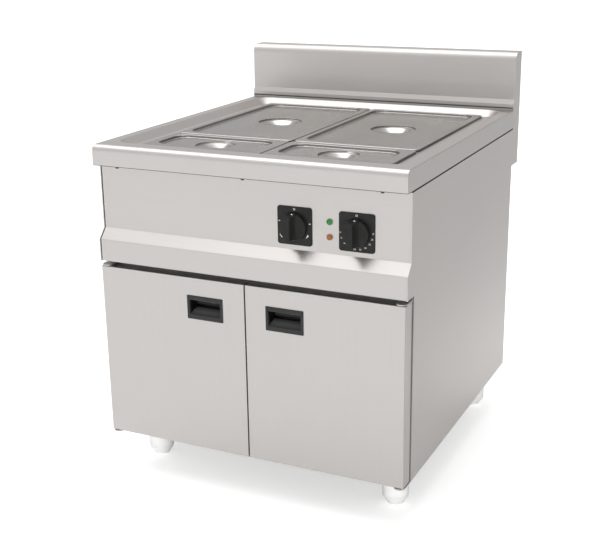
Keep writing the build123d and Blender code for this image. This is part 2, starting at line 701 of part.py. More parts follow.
def panel_screws():
    low = APRON_UNDER - PANEL_SHEET
    screws = []
    for x in panel_screw_places():
        y = FRONT + SCREW_BACK
        head = rod(SCREW_HEAD, (x, y, low - SCREW_HEAD_HEIGHT), (x, y, low))
        shank = rod(SCREW, (x, y, low), (x, y, low + SCREW_LENGTH))
        screws.append((head + shank).solid())
    return Compound(screws)


def dial_plate(x):
    outline = RectangleRounded(PLATE_WIDE, PLATE_HIGH, PLATE_CORNER)
    plate = extrude(Plane.XZ * outline, PLATE)
    plate = Pos(x, PANEL_FACE, DIAL_Z) * plate
    return plate - rod(PLATE_HOLE, (x, PANEL_FACE - PLATE - 1, DIAL_Z), (x, PANEL_FACE + 1, DIAL_Z))


def knob(x):
    """Round skirt with a waisted grip bar across it."""
    lift = (Align.CENTER, Align.CENTER, Align.MIN)
    skirt = Cone(KNOB / 2, KNOB / 2 - KNOB_DRAFT, KNOB_SKIRT, align=lift)
    grip = Cone(KNOB_GRIP / 2, KNOB_GRIP / 2 - KNOB_DRAFT, KNOB_HEIGHT, align=lift)
    for side in (-1, 1):
        hollow = Cylinder(KNOB_SCOOP, KNOB_HEIGHT, align=lift)
        grip -= Pos(side * (KNOB_SCOOP + KNOB_WAIST / 2), 0, 0) * hollow
    body = fillet(skirt.edges().group_by(Axis.Z)[-1], KNOB_EASE)
    body += fillet(grip.edges().group_by(Axis.Z)[-1], KNOB_EASE)
    body -= Cylinder(SPINDLE / 2 + RUN, KNOB_BORE, align=lift)
    place = Pos(x, PANEL_FACE - PLATE - SLIP, DIAL_Z) * Rot(90, 0, 0)
    return place * body


def spindle(x):
    back = PANEL_FACE + PANEL_SHEET + SPINDLE_DEEP
    front = PANEL_FACE - PLATE - SLIP - KNOB_BORE + SPINDLE_PLAY
    return rod(SPINDLE, (x, back, DIAL_Z), (x, front, DIAL_Z))


def dial_body(x, wide, deep):
    """Box of a switch or a thermostat behind the panel, with a bore for its spindle."""
    front = PANEL_FACE + PANEL_SHEET
    body = block((x - wide / 2, x + wide / 2), (front + NECK_LENGTH, front + deep),
                 (DIAL_Z - wide / 2, DIAL_Z + wide / 2))
    neck = rod(NECK, (x, front, DIAL_Z), (x, front + NECK_LENGTH, DIAL_Z))
    bore = front + SPINDLE_DEEP + SPINDLE_PLAY
    return body + neck - rod(SPINDLE + 2 * RUN, (x, front - 1, DIAL_Z), (x, bore, DIAL_Z))


def lamp_lens(side):
    z = DIAL_Z + side * LAMP_SPREAD / 2
    front = PANEL_FACE - LAMP_FLANGE
    lens = rod(LAMP_LENS, (LAMP_X, front - LAMP_DOME, z), (LAMP_X, front, z))
    return fillet(lens.edges().group_by(Axis.Y)[0], LAMP_EASE)


def lamp_bodies():
    bodies = []
    for side in (-1, 1):
        z = DIAL_Z + side * LAMP_SPREAD / 2
        flange = rod(LAMP, (LAMP_X, PANEL_FACE - LAMP_FLANGE, z), (LAMP_X, PANEL_FACE, z))
        barrel = rod(LAMP_BARREL, (LAMP_X, PANEL_FACE, z), (LAMP_X, PANEL_FACE + LAMP_DEEP, z))
        bodies.append((flange + barrel).solid())
    return Compound(bodies)


def thermostat_capillary():
    """Thin tube from the thermostat to its bulb under the tank."""
    x = THERMO_X + CAPILLARY_SHIFT
    level = TANK_UNDER - BULB / 2 - SEAT
    start = (x, PANEL_FACE + PANEL_SHEET + THERMOSTAT_DEEP / 2, DIAL_Z - THERMOSTAT_BODY / 2)
    clip = FIELD_FRONT + BULB_START
    path = FilletPolyline(start, (x, start[1], level), (x, clip, level), radius=CAPILLARY_BEND)
    tube = sweep(Plane(origin=start, z_dir=(0, 0, -1)) * Circle(CAPILLARY / 2), path=path)
    return tube + rod(BULB, (x, clip, level), (x, clip + BULB_LENGTH, level))


# Heating

def element(x):
    """One tube bent into four legs, with a terminal pin at each end."""
    level = TANK_UNDER - ELEMENT / 2 - SEAT
    front = FIELD_FRONT + ELEMENT_START
    back = front + ELEMENT_LENGTH
    short = front + ELEMENT_SHORT
    legs = [x + (index - 1.5) * ELEMENT_PITCH for index in range(4)]
    ends = [front, back, back, short, short, back, back, front]
    points = [(legs[index // 2], y, level) for index, y in enumerate(ends)]
    path = FilletPolyline(*points, radius=ELEMENT_BEND)
    tube = sweep(Plane(origin=points[0], z_dir=(0, 1, 0)) * Circle(ELEMENT / 2), path=path)
    for leg in (legs[0], legs[-1]):
        tube += rod(TERMINAL, (leg, front - TERMINAL_LENGTH, level), (leg, front, level))
    return tube


def heating_elements():
    return Compound([element(-COLUMN).solid(), element(COLUMN).solid()])


def element_clamps():
    """Hat-shaped straps that hold the element legs up against the tank."""
    low = TANK_UNDER - ELEMENT - 2 * SEAT
    reach = 1.5 * ELEMENT_PITCH + ELEMENT
    start = FIELD_FRONT + ELEMENT_START
    straps = []
    for x in (-COLUMN, COLUMN):
        for y in (start + CLAMP_FROM_END, start + ELEMENT_LENGTH - CLAMP_FROM_END):
            points = [(x - reach - CLAMP_FOOT, TANK_UNDER), (x - reach, TANK_UNDER), (x - reach, low),
                      (x + reach, low), (x + reach, TANK_UNDER), (x + reach + CLAMP_FOOT, TANK_UNDER)]
            straps.append(folded_back(points[::-1], SHEET, (y, y + CLAMP_WIDE)).solid())
    return Compound(straps)


# Drain

def drain_fitting():
    """Flanged outlet through the tank floor, with its lock nut under it."""
    foot = (DRAIN_X, DRAIN_Y, VALVE_TOP)
    top = (DRAIN_X, DRAIN_Y, TANK_INSIDE + DRAIN_FLANGE_SHEET)
    flange = rod(DRAIN_FLANGE, (DRAIN_X, DRAIN_Y, TANK_INSIDE), top)
    lock = nut(LOCK_NUT, (DRAIN_X, DRAIN_Y, TANK_UNDER - LOCK_NUT_HEIGHT), (DRAIN_X, DRAIN_Y, TANK_UNDER))
    pipe = rod(DRAIN, foot, top)
    bore = rod(DRAIN - 2 * DRAIN_WALL, foot, top)
    return flange + lock + pipe - bore


def drain_valve():
    """Ball valve with a hexagon at each end and a neck for the lever's stem."""
    body = Pos(DRAIN_X, DRAIN_Y, VALVE_Z) * Sphere(VALVE_BALL / 2)
    for low in (VALVE_END, VALVE_TOP - VALVE_HEX_HEIGHT):
        body += nut(VALVE_HEX, (DRAIN_X, DRAIN_Y, low), (DRAIN_X, DRAIN_Y, low + VALVE_HEX_HEIGHT))
    body += rod(VALVE_BARREL, (DRAIN_X, DRAIN_Y, VALVE_END), (DRAIN_X, DRAIN_Y, VALVE_TOP))
    body += rod(VALVE_NECK, (DRAIN_X, LEVER_Y + 2 * SEAT, VALVE_Z), (DRAIN_X, DRAIN_Y, VALVE_Z))
    bore = LEVER_Y + STEM_DEEP + SPINDLE_PLAY
    return body - rod(VALVE_STEM + 2 * RUN, (DRAIN_X, LEVER_Y, VALVE_Z), (DRAIN_X, bore, VALVE_Z))


def drain_lever():
    """Flat lever with a grip sleeve, closed across the pipe, on its stem."""
    front = LEVER_Y - LEVER_SHEET
    stem = rod(VALVE_STEM, (DRAIN_X, front, VALVE_Z), (DRAIN_X, LEVER_Y + STEM_DEEP, VALVE_Z))
    cap = nut(LEVER_NUT, (DRAIN_X, front - LEVER_NUT_HEIGHT, VALVE_Z), (DRAIN_X, front, VALVE_Z))
    arm = Plane.XZ * SlotCenterToCenter(LEVER_LENGTH, LEVER_WIDE)
    arm = Pos(DRAIN_X + LEVER_LENGTH / 2, LEVER_Y, VALVE_Z) * extrude(arm, LEVER_SHEET)
    grip = Plane.XZ * SlotOverall(GRIP_LENGTH, GRIP_WIDE)
    end = DRAIN_X + LEVER_LENGTH + GRIP_WIDE / 2 - GRIP_LENGTH / 2
    grip = Pos(end, LEVER_Y + (GRIP_THICK - LEVER_SHEET) / 2, VALVE_Z) * extrude(grip, GRIP_THICK)
    return stem + cap + arm + grip


def drain_spout():
    """Open outlet pipe under the valve."""
    end = VALVE_END - SPOUT_LENGTH
    pipe = rod(DRAIN, (DRAIN_X, DRAIN_Y, end), (DRAIN_X, DRAIN_Y, VALVE_END))
    return pipe - rod(DRAIN - 2 * DRAIN_WALL, (DRAIN_X, DRAIN_Y, end - 1), (DRAIN_X, DRAIN_Y, VALVE_END))


# Supply at the back

def terminal_block():
    back = SIDE_BACK
    z = INLET_Z + BLOCK_RISE
    mid = back - BLOCK_BASE
    base = block((INLET_X - BLOCK_WIDE / 2, INLET_X + BLOCK_WIDE / 2), (mid, back),
                 (z - BLOCK_HIGH / 2, z + BLOCK_HIGH / 2))
    for index in range(5):
        x = INLET_X + (index - 2) * BLOCK_PITCH
        base += block((x - BLOCK_TOWER / 2, x + BLOCK_TOWER / 2), (mid - BLOCK_BASE, mid),
                      (z - BLOCK_TOWER_HIGH / 2, z + BLOCK_TOWER_HIGH / 2))
    return base


def cable_gland():
    back = SIDE_BACK + SHEET
    ends = [(INLET_X, y, INLET_Z) for y in (SIDE_BACK - GLAND_IN, SIDE_BACK - GLAND_NUT, SIDE_BACK, back,
                                            back + GLAND_COLLAR, back + GLAND_OUT)]
    body = rod(GLAND, ends[0], ends[4]) + nut(GLAND_HEX, ends[1], ends[2])
    body += nut(GLAND_HEX, ends[3], ends[4]) + rod(GLAND_CAP, ends[4], ends[5])
    return body - rod(GLAND_BORE, ends[0], ends[5])


def bonding_stud():
    back = SIDE_BACK + SHEET
    stud = rod(STUD, (STUD_X, SIDE_BACK - STUD_IN, INLET_Z), (STUD_X, back + STUD_OUT, INLET_Z))
    for y in (SIDE_BACK - STUD_NUT, back):
        stud += nut(STUD_HEX, (STUD_X, y, INLET_Z), (STUD_X, y + STUD_NUT, INLET_Z))
    return stud


def back_screw_places():
    low = FOOT_HEIGHT + BACK_SCREW_END
    high = HEIGHT - UPSTAND_DROP - BACK_SCREW_END
    return [(side * (SIDE - FOLD / 2), z) for side in (-1, 1) for z in (low, (low + high) / 2, high)]


def back_screws():
    back = SIDE_BACK + SHEET
    screws = []
    for x, z in back_screw_places():
        head = rod(BACK_SCREW_HEAD, (x, back, z), (x, back + BACK_SCREW_HEIGHT, z))
        shank = rod(BACK_SCREW, (x, SIDE_BACK, z), (x, back, z))
        screws.append((head + shank).solid())
    return Compound(screws)


# Doors and hinges

def door_skin():
    """Right door's outer tray, open at the back."""
    x = (DOOR_GAP / 2, DOOR_SIDE)
    outer = block(x, (DOOR_FACE, DOOR_BACK), (DOOR_END, DOOR_TOP))
    outer = fillet(outer.edges().group_by(Axis.Y)[0], EDGE)
    inner = block((x[0] + SHEET, x[1] - SHEET), (DOOR_FACE + SHEET, DOOR_BACK + 1),
                  (DOOR_END + SHEET, DOOR_TOP - SHEET))
    cup = PULL_HALF + PULL_WALL + SLIP
    skin = outer - inner
    skin -= block((PULL_X - cup, PULL_X + cup), (DOOR_FACE - 1, DOOR_FACE + 2),
                  (PULL_FLOOR - PULL_WALL - SLIP, PULL_ROOF + PULL_WALL + SLIP))
    for z in (DOOR_END, DOOR_TOP):
        skin -= rod(BUSH + 2 * RUN, (PIVOT_X, PIVOT_Y, z - 2), (PIVOT_X, PIVOT_Y, z + 2))
    return skin


def door_liner():
    """Right door's inner sheet, folded forwards round its edge."""
    x = (DOOR_GAP / 2 + SHEET, DOOR_SIDE - SHEET)
    z = (DOOR_END + SHEET, DOOR_TOP - SHEET)
    outer = block(x, (DOOR_BACK - LINER_FOLD, DOOR_BACK), z)
    return outer - block((x[0] + SHEET, x[1] - SHEET), (DOOR_BACK - LINER_FOLD - 1, DOOR_BACK - SHEET),
                         (z[0] + SHEET, z[1] - SHEET))


def door_pull():
    """Recessed pull: a face frame and a cup with a deeper slot at its lower back."""
    face = extrude(Plane.XZ * RectangleRounded(PULL_WIDE, PULL_HIGH, PULL_CORNER), PULL_FACE)
    face = Pos(PULL_X, DOOR_FACE, PULL_Z) * face
    x = (PULL_X - PULL_HALF, PULL_X + PULL_HALF)
    front = DOOR_FACE - PULL_FACE - 1
    back = DOOR_FACE + PULL_DEPTH + PULL_STEP
    cup = block((x[0] - PULL_WALL, x[1] + PULL_WALL), (DOOR_FACE, back + SHEET),
                (PULL_FLOOR - PULL_WALL, PULL_ROOF + PULL_WALL))
    hollow = block(x, (front, DOOR_FACE + PULL_DEPTH), (PULL_FLOOR, PULL_ROOF))
    slot = block(x, (front, back), (PULL_FLOOR, PULL_FLOOR + PULL_SLOT))
    return face + cup - hollow - slot


def door_bushes():
    """Flanged bushes in the right door's lower and upper edge."""
    bushes = []
    for z, out in ((DOOR_END, -1), (DOOR_TOP, 1)):
        edge = (PIVOT_X, PIVOT_Y, z)
        sleeve = rod(BUSH, edge, (PIVOT_X, PIVOT_Y, z - out * BUSH_LENGTH))
        collar = rod(BUSH_COLLAR, edge, (PIVOT_X, PIVOT_Y, z + out * (PIVOT_GAP - SEAT)))
        deep = (PIVOT_X, PIVOT_Y, z - 2 * BUSH_LENGTH)
        bore = rod(PIN + 2 * RUN, deep, (PIVOT_X, PIVOT_Y, z + 2 * BUSH_LENGTH))
        bushes.append((sleeve + collar - bore).solid())
    return Compound(bushes)


def hinge_tongue(z, back):
    """Flat hinge plate with a round nose at the pivot and a hole for its pin."""
    tongue = rod(2 * HINGE_NOSE, (PIVOT_X, PIVOT_Y, z), (PIVOT_X, PIVOT_Y, z + HINGE_PLATE))
    tongue += block((PIVOT_X - HINGE_NOSE, PIVOT_X + HINGE_NOSE), (PIVOT_Y, back), (z, z + HINGE_PLATE))
    return tongue - rod(PIN + 2 * RUN, (PIVOT_X, PIVOT_Y, z - 1), (PIVOT_X, PIVOT_Y, z + HINGE_PLATE + 1))


def top_hinges():
    z = DOOR_TOP + PIVOT_GAP
    back = CUPBOARD + SHEET
    plate = hinge_tongue(z, back)
    plate += block((PIVOT_X - HINGE_NOSE, PIVOT_X + HINGE_NOSE), (back - HINGE_PLATE, back),
                   (z, LIP_END + HINGE_TAB))
    return both_sides(plate)


def bottom_hinges():
    return both_sides(hinge_tongue(FOOT_HEIGHT - HINGE_PLATE, CUPBOARD + HINGE_REACH))


def hinge_pins():
    pins = []
    top = DOOR_TOP + PIVOT_GAP + HINGE_PLATE
    low = FOOT_HEIGHT - HINGE_PLATE
    for side in (-1, 1):
        x = side * PIVOT_X
        pins.append(rod(PIN, (x, PIVOT_Y, DOOR_TOP - PIN_DEEP), (x, PIVOT_Y, top)).solid())
        pins.append(rod(PIN, (x, PIVOT_Y, low), (x, PIVOT_Y, DOOR_END + PIN_DEEP)).solid())
    return Compound(pins)


def door_magnets():
    back = CUPBOARD + SHEET
    z = DOOR_TOP - MAGNET_DROP
    magnet = block((MAGNET_X - MAGNET_WIDE / 2, MAGNET_X + MAGNET_WIDE / 2), (DOOR_BACK + SLIP, back),
                   (z - MAGNET_HIGH / 2, z + MAGNET_HIGH / 2))
    return both_sides(magnet)


# Legs

def leg_sleeves():
    """Fixed sleeves under the base, each with a plug up to the base and a bore for its foot."""
    legs = []
    for x, y in BASE_LEGS:
        sleeve = rod(LEG, (x, y, TIP_HEIGHT), (x, y, FOOT_HEIGHT))
        plug = rod(LEG_PLUG, (x, y, FOOT_HEIGHT), (x, y, BASE_TOP - SHEET))
        bore = rod(STEM + 2 * RUN, (x, y, TIP_HEIGHT), (x, y, TIP_HEIGHT + STEM_LENGTH + STEM_PLAY))
        legs.append((sleeve + plug - bore).solid())
    return Compound(legs)


def foot(index):
    """Turning foot: a tapered tip under the sleeve, on a stem inside it."""
    x, y = BASE_LEGS[index]
    top = TIP_HEIGHT - 2 * SEAT
    tip = Pos(x, y, (TIP_PAD + top) / 2) * Cone(TIP / 2, LEG / 2 - SLIP, top - TIP_PAD)
    tip += rod(TIP, (x, y, 0), (x, y, TIP_PAD))
    return tip + rod(STEM, (x, y, top), (x, y, top + STEM_LENGTH))


def left(solid):
    """Left-hand twin of a right-hand piece."""
    return mirror(solid, about=Plane.YZ)


PIECES = {
    "worktop": worktop(),
    "tank_walls": tank_walls(),
    "tank_floor": tank_floor(),
    "pan_bars": pan_bars(),
    "upstand_shell": upstand_shell(),
    "upstand_cheeks": upstand_cheeks(),
    "side_panel_left": left(side_panel()),
    "side_panel_right": side_panel(),
    "back_panel": back_panel(),
    "base_tray": base_tray(),
    "front_rail": front_rail(),
    "control_panel": control_panel(),
    "panel_screws": panel_screws(),
    "switch_plate": dial_plate(DIAL_X),
    "thermostat_plate": dial_plate(THERMO_X),
    "switch_knob": knob(DIAL_X),
    "thermostat_knob": knob(THERMO_X),
    "switch_spindle": spindle(DIAL_X),
    "thermostat_spindle": spindle(THERMO_X),
    "switch_body": dial_body(DIAL_X, SWITCH_BODY, SWITCH_DEEP),
    "thermostat_body": dial_body(THERMO_X, THERMOSTAT_BODY, THERMOSTAT_DEEP),
    "thermostat_capillary": thermostat_capillary(),
    "green_lamp_lens": lamp_lens(1),
    "amber_lamp_lens": lamp_lens(-1),
    "lamp_bodies": lamp_bodies(),
    "heating_elements": heating_elements(),
    "element_clamps": element_clamps(),
    "drain_fitting": drain_fitting(),
    "drain_valve": drain_valve(),
    "drain_lever": drain_lever(),
    "drain_spout": drain_spout(),
    "terminal_block": terminal_block(),
    "cable_gland": cable_gland(),
    "bonding_stud": bonding_stud(),
    "back_screws": back_screws(),
    "top_hinges": top_hinges(),
    "bottom_hinges": bottom_hinges(),
    "hinge_pins": hinge_pins(),
    "door_magnets": door_magnets(),
    "leg_sleeves": leg_sleeves(),
    "door_left_skin": left(door_skin()),
    "door_left_liner": left(door_liner()),
    "door_left_pull": left(door_pull()),
    "door_left_bushes": left(door_bushes()),
    "door_right_skin": door_skin(),
    "door_right_liner": door_liner(),
    "door_right_pull": door_pull(),
    "door_right_bushes": door_bushes(),
    "foot_front_left": foot(0),
    "foot_rear_left": foot(1),
    "foot_front_right": foot(2),
    "foot_rear_right": foot(3),
    "pan_rear_left": pan(-COLUMN, GN_LONG),
    "pan_rear_right": pan(COLUMN, GN_LONG),
    "pan_front_left": pan(-COLUMN, GN_SHORT),
    "pan_front_right": pan(COLUMN, GN_SHORT),
    "lid_rear_left": lid(-COLUMN, GN_LONG),
    "lid_rear_right": lid(COLUMN, GN_LONG),
    "lid_front_left": lid(-COLUMN, GN_SHORT),
    "lid_front_right": lid(COLUMN, GN_SHORT),
}

os.makedirs("parts", exist_ok=True)
for name, piece in PIECES.items():
    export_step(piece, f"parts/{name}.step")
    print(name, len(piece.solids()), round(piece.volume / 1000, 2), "cm3")
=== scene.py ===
# %% [markdown]
# # A bain-marie in brushed stainless steel
# This lesson dresses a finished CAD model, a floor-standing bain-marie, in Blender. The CAD
# solids already have the right shapes and joints, so they stay where they are and get
# materials. What a CAD model leaves plain is modelled here: printed dials, screw recesses,
# moulded feet and pulls. Everything is in metres, in the same frame as the CAD.

# %% Load the frame
import bpy
import bmesh
import json
from math import cos, exp, pi, radians, sin
from mathutils import Matrix, Vector

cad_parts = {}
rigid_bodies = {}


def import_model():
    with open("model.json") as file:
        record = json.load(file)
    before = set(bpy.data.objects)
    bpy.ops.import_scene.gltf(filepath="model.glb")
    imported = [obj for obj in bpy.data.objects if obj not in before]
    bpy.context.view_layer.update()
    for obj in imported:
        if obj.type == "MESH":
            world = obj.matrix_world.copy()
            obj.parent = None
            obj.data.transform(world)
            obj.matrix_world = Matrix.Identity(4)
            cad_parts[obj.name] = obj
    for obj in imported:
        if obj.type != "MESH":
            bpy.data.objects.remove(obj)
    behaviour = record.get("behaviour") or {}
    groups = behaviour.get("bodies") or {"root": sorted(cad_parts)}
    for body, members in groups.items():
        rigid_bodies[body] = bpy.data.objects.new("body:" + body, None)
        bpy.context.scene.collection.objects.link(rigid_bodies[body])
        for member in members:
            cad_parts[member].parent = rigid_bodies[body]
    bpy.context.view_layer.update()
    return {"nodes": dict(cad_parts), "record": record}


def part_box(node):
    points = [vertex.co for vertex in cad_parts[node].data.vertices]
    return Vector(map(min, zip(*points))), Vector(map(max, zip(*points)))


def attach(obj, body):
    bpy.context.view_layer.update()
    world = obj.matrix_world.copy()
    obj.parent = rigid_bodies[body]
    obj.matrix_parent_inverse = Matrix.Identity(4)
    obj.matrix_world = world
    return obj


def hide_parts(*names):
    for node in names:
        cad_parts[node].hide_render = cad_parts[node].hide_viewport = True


for leftover in list(bpy.data.objects):
    bpy.data.objects.remove(leftover)
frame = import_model()
nodes = frame["nodes"]
MM = 0.001  # one millimetre, in metres

# %% [markdown]
# ## The camera
# The picture is taken from the front right, a little above the worktop, with a long lens.
# A camera looks down its own -Z axis, so it is first tipped up to the horizon, then pitched,
# turned and rolled. The roll is under one degree, as a hand-held shot has.

# %% Camera at the picture's angle
CAMERA_PLACE = Vector((1.15824, -2.55907, 1.33598))
CAMERA_YAW = radians(25.63)
CAMERA_PITCH = radians(-17.33)
CAMERA_ROLL = radians(-0.84)
LENS_MM, SENSOR_MM = 65.65, 36.0


def linked(name, data):
    """Object for some data, put into the scene."""
    made = bpy.data.objects.new(name, data)
    bpy.context.scene.collection.objects.link(made)
    return made


lens = bpy.data.cameras.new("product_camera")
lens.lens, lens.sensor_width = LENS_MM, SENSOR_MM
camera = linked("product_camera", lens)
aim = Matrix.Rotation(CAMERA_YAW, 4, "Z") @ Matrix.Rotation(pi / 2 + CAMERA_PITCH, 4, "X")
roll = Matrix.Rotation(CAMERA_ROLL, 4, "Z")
camera.matrix_world = Matrix.Translation(CAMERA_PLACE) @ aim @ roll
bpy.context.scene.camera = camera
bpy.context.scene.view_settings.view_transform = "Standard"
print("camera at", [round(v, 3) for v in camera.location])

# %% [markdown]
# ## The room that the steel reflects
# Stainless steel shows what is around it, so the light is a room more than a lamp. The walls
# are bright on the left and dim low on the right, which is why the right side of the cupboard
# is darker than its front, and the front wall and the ceiling add some light. A picture of a
# studio could give this, but a few ranges over the parts of a ray's direction are easier to
# change. A Light Path node tells rays apart: the camera and glass see a white background, metal
# sees a small share of it, and nothing is lit by it.

# %% Helpers for node trees
MIRROR_SHARE = 0.05  # of the white background, for metal


def node(tree, kind, values=None):
    """Node of a kind, with some of its sockets set."""
    made = tree.nodes.new(kind)
    for socket, value in (values or {}).items():
        made.inputs[socket].default_value = value
    return made


def combined(tree, operation, first, second):
    """Math node on two sockets or numbers."""
    made = node(tree, "ShaderNodeMath")
    made.operation = operation
    for socket, value in zip(made.inputs, (first, second)):
        if isinstance(value, (int, float)):
            socket.default_value = value
        else:
            tree.links.new(value, socket)
    return made.outputs[0]


def ranged(tree, value, start, end):
    """Map Range node from one pair of numbers to another."""
    made = node(tree, "ShaderNodeMapRange", {1: start[0], 2: start[1], 3: end[0], 4: end[1]})
    tree.links.new(value, made.inputs[0])
    return made.outputs[0]


def parts(tree, vector):
    """X, Y and Z of a vector socket."""
    made = node(tree, "ShaderNodeSeparateXYZ")
    tree.links.new(vector, made.inputs[0])
    return made.outputs


def seen(tree):
    """Share of the white background that a ray meets."""
    ray = node(tree, "ShaderNodeLightPath").outputs
    straight = combined(tree, "MAXIMUM", ray["Is Camera Ray"], ray["Is Transmission Ray"])
    mirrored = combined(tree, "MULTIPLY", ray["Is Glossy Ray"], MIRROR_SHARE)
    return combined(tree, "ADD", straight, mirrored)


print("metal sees", MIRROR_SHARE, "of the white background")

# %% The world
WALL, RIGHT_WALL = 0.43, 0.03  # radiance of the walls, and low on the right
FRONT_WALL, CEILING = 0.23, 0.40  # added in front and overhead
RIGHT_PART, LOW_PART = (-0.35, 0.45), (0.15, 0.45)
FRONT_PART, HIGH_PART = (0.1, -0.6), (0.55, 1.0)

world = bpy.data.worlds.new("studio")
world.use_nodes = True
bpy.context.scene.world = world
room = world.node_tree
way = parts(room, node(room, "ShaderNodeTexCoord").outputs["Generated"])
right = ranged(room, way["X"], RIGHT_PART, (0.0, 1.0))
low = ranged(room, way["Z"], LOW_PART, (1.0, 0.0))
dim = combined(room, "MULTIPLY", right, low)
walls = ranged(room, dim, (0.0, 1.0), (WALL, RIGHT_WALL))
front = ranged(room, way["Y"], FRONT_PART, (0.0, FRONT_WALL))
ceiling = ranged(room, way["Z"], HIGH_PART, (0.0, CEILING))
light = combined(room, "ADD", combined(room, "ADD", walls, front), ceiling)
light = combined(room, "ADD", light, seen(room))
room.links.new(light, room.nodes["Background"].inputs["Strength"])
room.nodes["Background"].inputs["Color"].default_value = (1, 1, 1, 1)
print("world with", len(room.nodes), "nodes")

# %% [markdown]
# ## The floor
# The floor is pale and matt, and so wide that no view shows its end. It glows for the camera and
# glass, and a little for metal, so it looks white but lights nothing: the shadow stays. Steel
# mirrors a darker floor on the right, as if a grey card lay there, and this darkens the foot of
# the right side. A real card would show in the picture, a colour for glossy rays doesn't.

# %% Pale floor
FLOOR_HALF = 300.0
FLOOR_GLOW, FLOOR_ROUGHNESS = 0.50, 0.9
FLOOR_WHITE = (0.92, 0.92, 0.92)
FLOOR_SHADE = (0.55, 0.55, 0.55)  # what steel mirrors of the floor on the right
SHADE_FROM = (0.55, 0.95)  # metres to the right


def shader(name):
    """New material with its tree and its Principled BSDF."""
    material = bpy.data.materials.new(name)
    material.use_nodes = True
    return material, material.node_tree, material.node_tree.nodes["Principled BSDF"]


def place(tree):
    """Place on a piece, in its object's coordinates."""
    return node(tree, "ShaderNodeTexCoord").outputs["Object"]


def mixed(tree, factor, first, second):
    """Colour between two colours or colour sockets."""
    made = node(tree, "ShaderNodeMix")
    made.data_type = "RGBA"
    tree.links.new(factor, made.inputs[0])
    for socket, value in ((made.inputs[6], first), (made.inputs[7], second)):
        if isinstance(value, tuple):
            socket.default_value = (*value, 1)
        else:
            tree.links.new(value, socket)
    return made.outputs[2]


shape = bmesh.new()
bmesh.ops.create_grid(shape, x_segments=1, y_segments=1, size=FLOOR_HALF)
floor_mesh = bpy.data.meshes.new("floor")
shape.to_mesh(floor_mesh)
shape.free()
floor = linked("floor", floor_mesh)

paint, tree, coat = shader("floor_paint")
coat.inputs["Roughness"].default_value = FLOOR_ROUGHNESS
coat.inputs["Emission Color"].default_value = (1, 1, 1, 1)
shade = ranged(tree, parts(tree, place(tree))["X"], SHADE_FROM, (0.0, 1.0))
ray = node(tree, "ShaderNodeLightPath").outputs
shade = combined(tree, "MULTIPLY", shade, ray["Is Glossy Ray"])
tree.links.new(mixed(tree, shade, FLOOR_WHITE, FLOOR_SHADE), coat.inputs["Base Color"])
glow = combined(tree, "MULTIPLY", seen(tree), FLOOR_GLOW)
tree.links.new(glow, coat.inputs["Emission Strength"])
floor_mesh.materials.append(paint)
print("floor", 2 * FLOOR_HALF, "m wide")

# %% [markdown]
# ## Two lamps
# The key is a very wide sun, which lights near and far parts of the floor alike and puts a soft
# bright patch into every slope that faces up. The fill is a long strip that stands low in front.
# It reaches the feet and the shade under the panel's lip, where a sun overhead can't. Metal
# doesn't mirror it, because its bright line would show in the doors.

# %% Key and low fill
KEY_FROM = Vector((-0.3, 0.12, 0.94))
KEY_ANGLE, KEY_STRENGTH = radians(61), 1.29
FILL_PLACE, FILL_AIM = Vector((3.5, -9.0, 0.14)), Vector((0.0, -0.3, 0.05))
FILL_SIZE, FILL_POWER = (17.0, 0.24), 690.0


def lamp(light, origin):
    """Lamp whose light comes from a direction."""
    made = linked(light.name, light)
    made.rotation_euler = origin.to_track_quat("Z", "Y").to_euler()
    return made


sun = bpy.data.lights.new("key", "SUN")
sun.energy, sun.angle = KEY_STRENGTH, KEY_ANGLE
lamp(sun, KEY_FROM)
strip = bpy.data.lights.new("low_fill", "AREA")
strip.shape = "RECTANGLE"
strip.size, strip.size_y = FILL_SIZE
strip.energy = FILL_POWER
fill = lamp(strip, FILL_PLACE - FILL_AIM)
fill.location = FILL_PLACE
fill.visible_glossy = False
print("lamps:", sun.name, strip.name)

# %% [markdown]
# ## Effects that several finishes share
# Brushing, wiping marks and worn edges turn up on almost every piece, so each is a node group,
# built once. A group puts out plain values, and the shader stays in the material. Brushing is
# noise stretched along one axis: slow along the strokes, fast across them. Wiping marks are
# slow clouds. Worn edges compare the true normal with one that a Bevel node has rounded.

# %% Brushing
NOISE_ROUGHNESS = 0.6
FINE_SHARE, WIDE_SHARE, WIDE_SCALE = 0.65, 0.35, 0.11


def effect(name, inputs, outputs):
    """Empty node group with named sockets, and its two end nodes."""
    tree = bpy.data.node_groups.new(name, "ShaderNodeTree")
    for label, kind, value in inputs:
        made = tree.interface.new_socket(label, in_out="INPUT", socket_type=kind)
        made.default_value = value
    for label in outputs:
        tree.interface.new_socket(label, in_out="OUTPUT", socket_type="NodeSocketFloat")
    ends = tree.nodes.new("NodeGroupInput"), tree.nodes.new("NodeGroupOutput")
    return tree, ends[0].outputs, ends[1].inputs


def noise(tree, vector, scale, detail):
    """Noise over a vector, between 0 and 1."""
    made = node(tree, "ShaderNodeTexNoise",
                {"Scale": scale, "Detail": detail, "Roughness": NOISE_ROUGHNESS})
    tree.links.new(vector, made.inputs["Vector"])
    return made.outputs[0]


def stretched(tree, factors):
    """Object coordinates, scaled by a vector socket."""
    made = node(tree, "ShaderNodeVectorMath")
    made.operation = "MULTIPLY"
    tree.links.new(place(tree), made.inputs[0])
    tree.links.new(factors, made.inputs[1])
    return made.outputs[0]


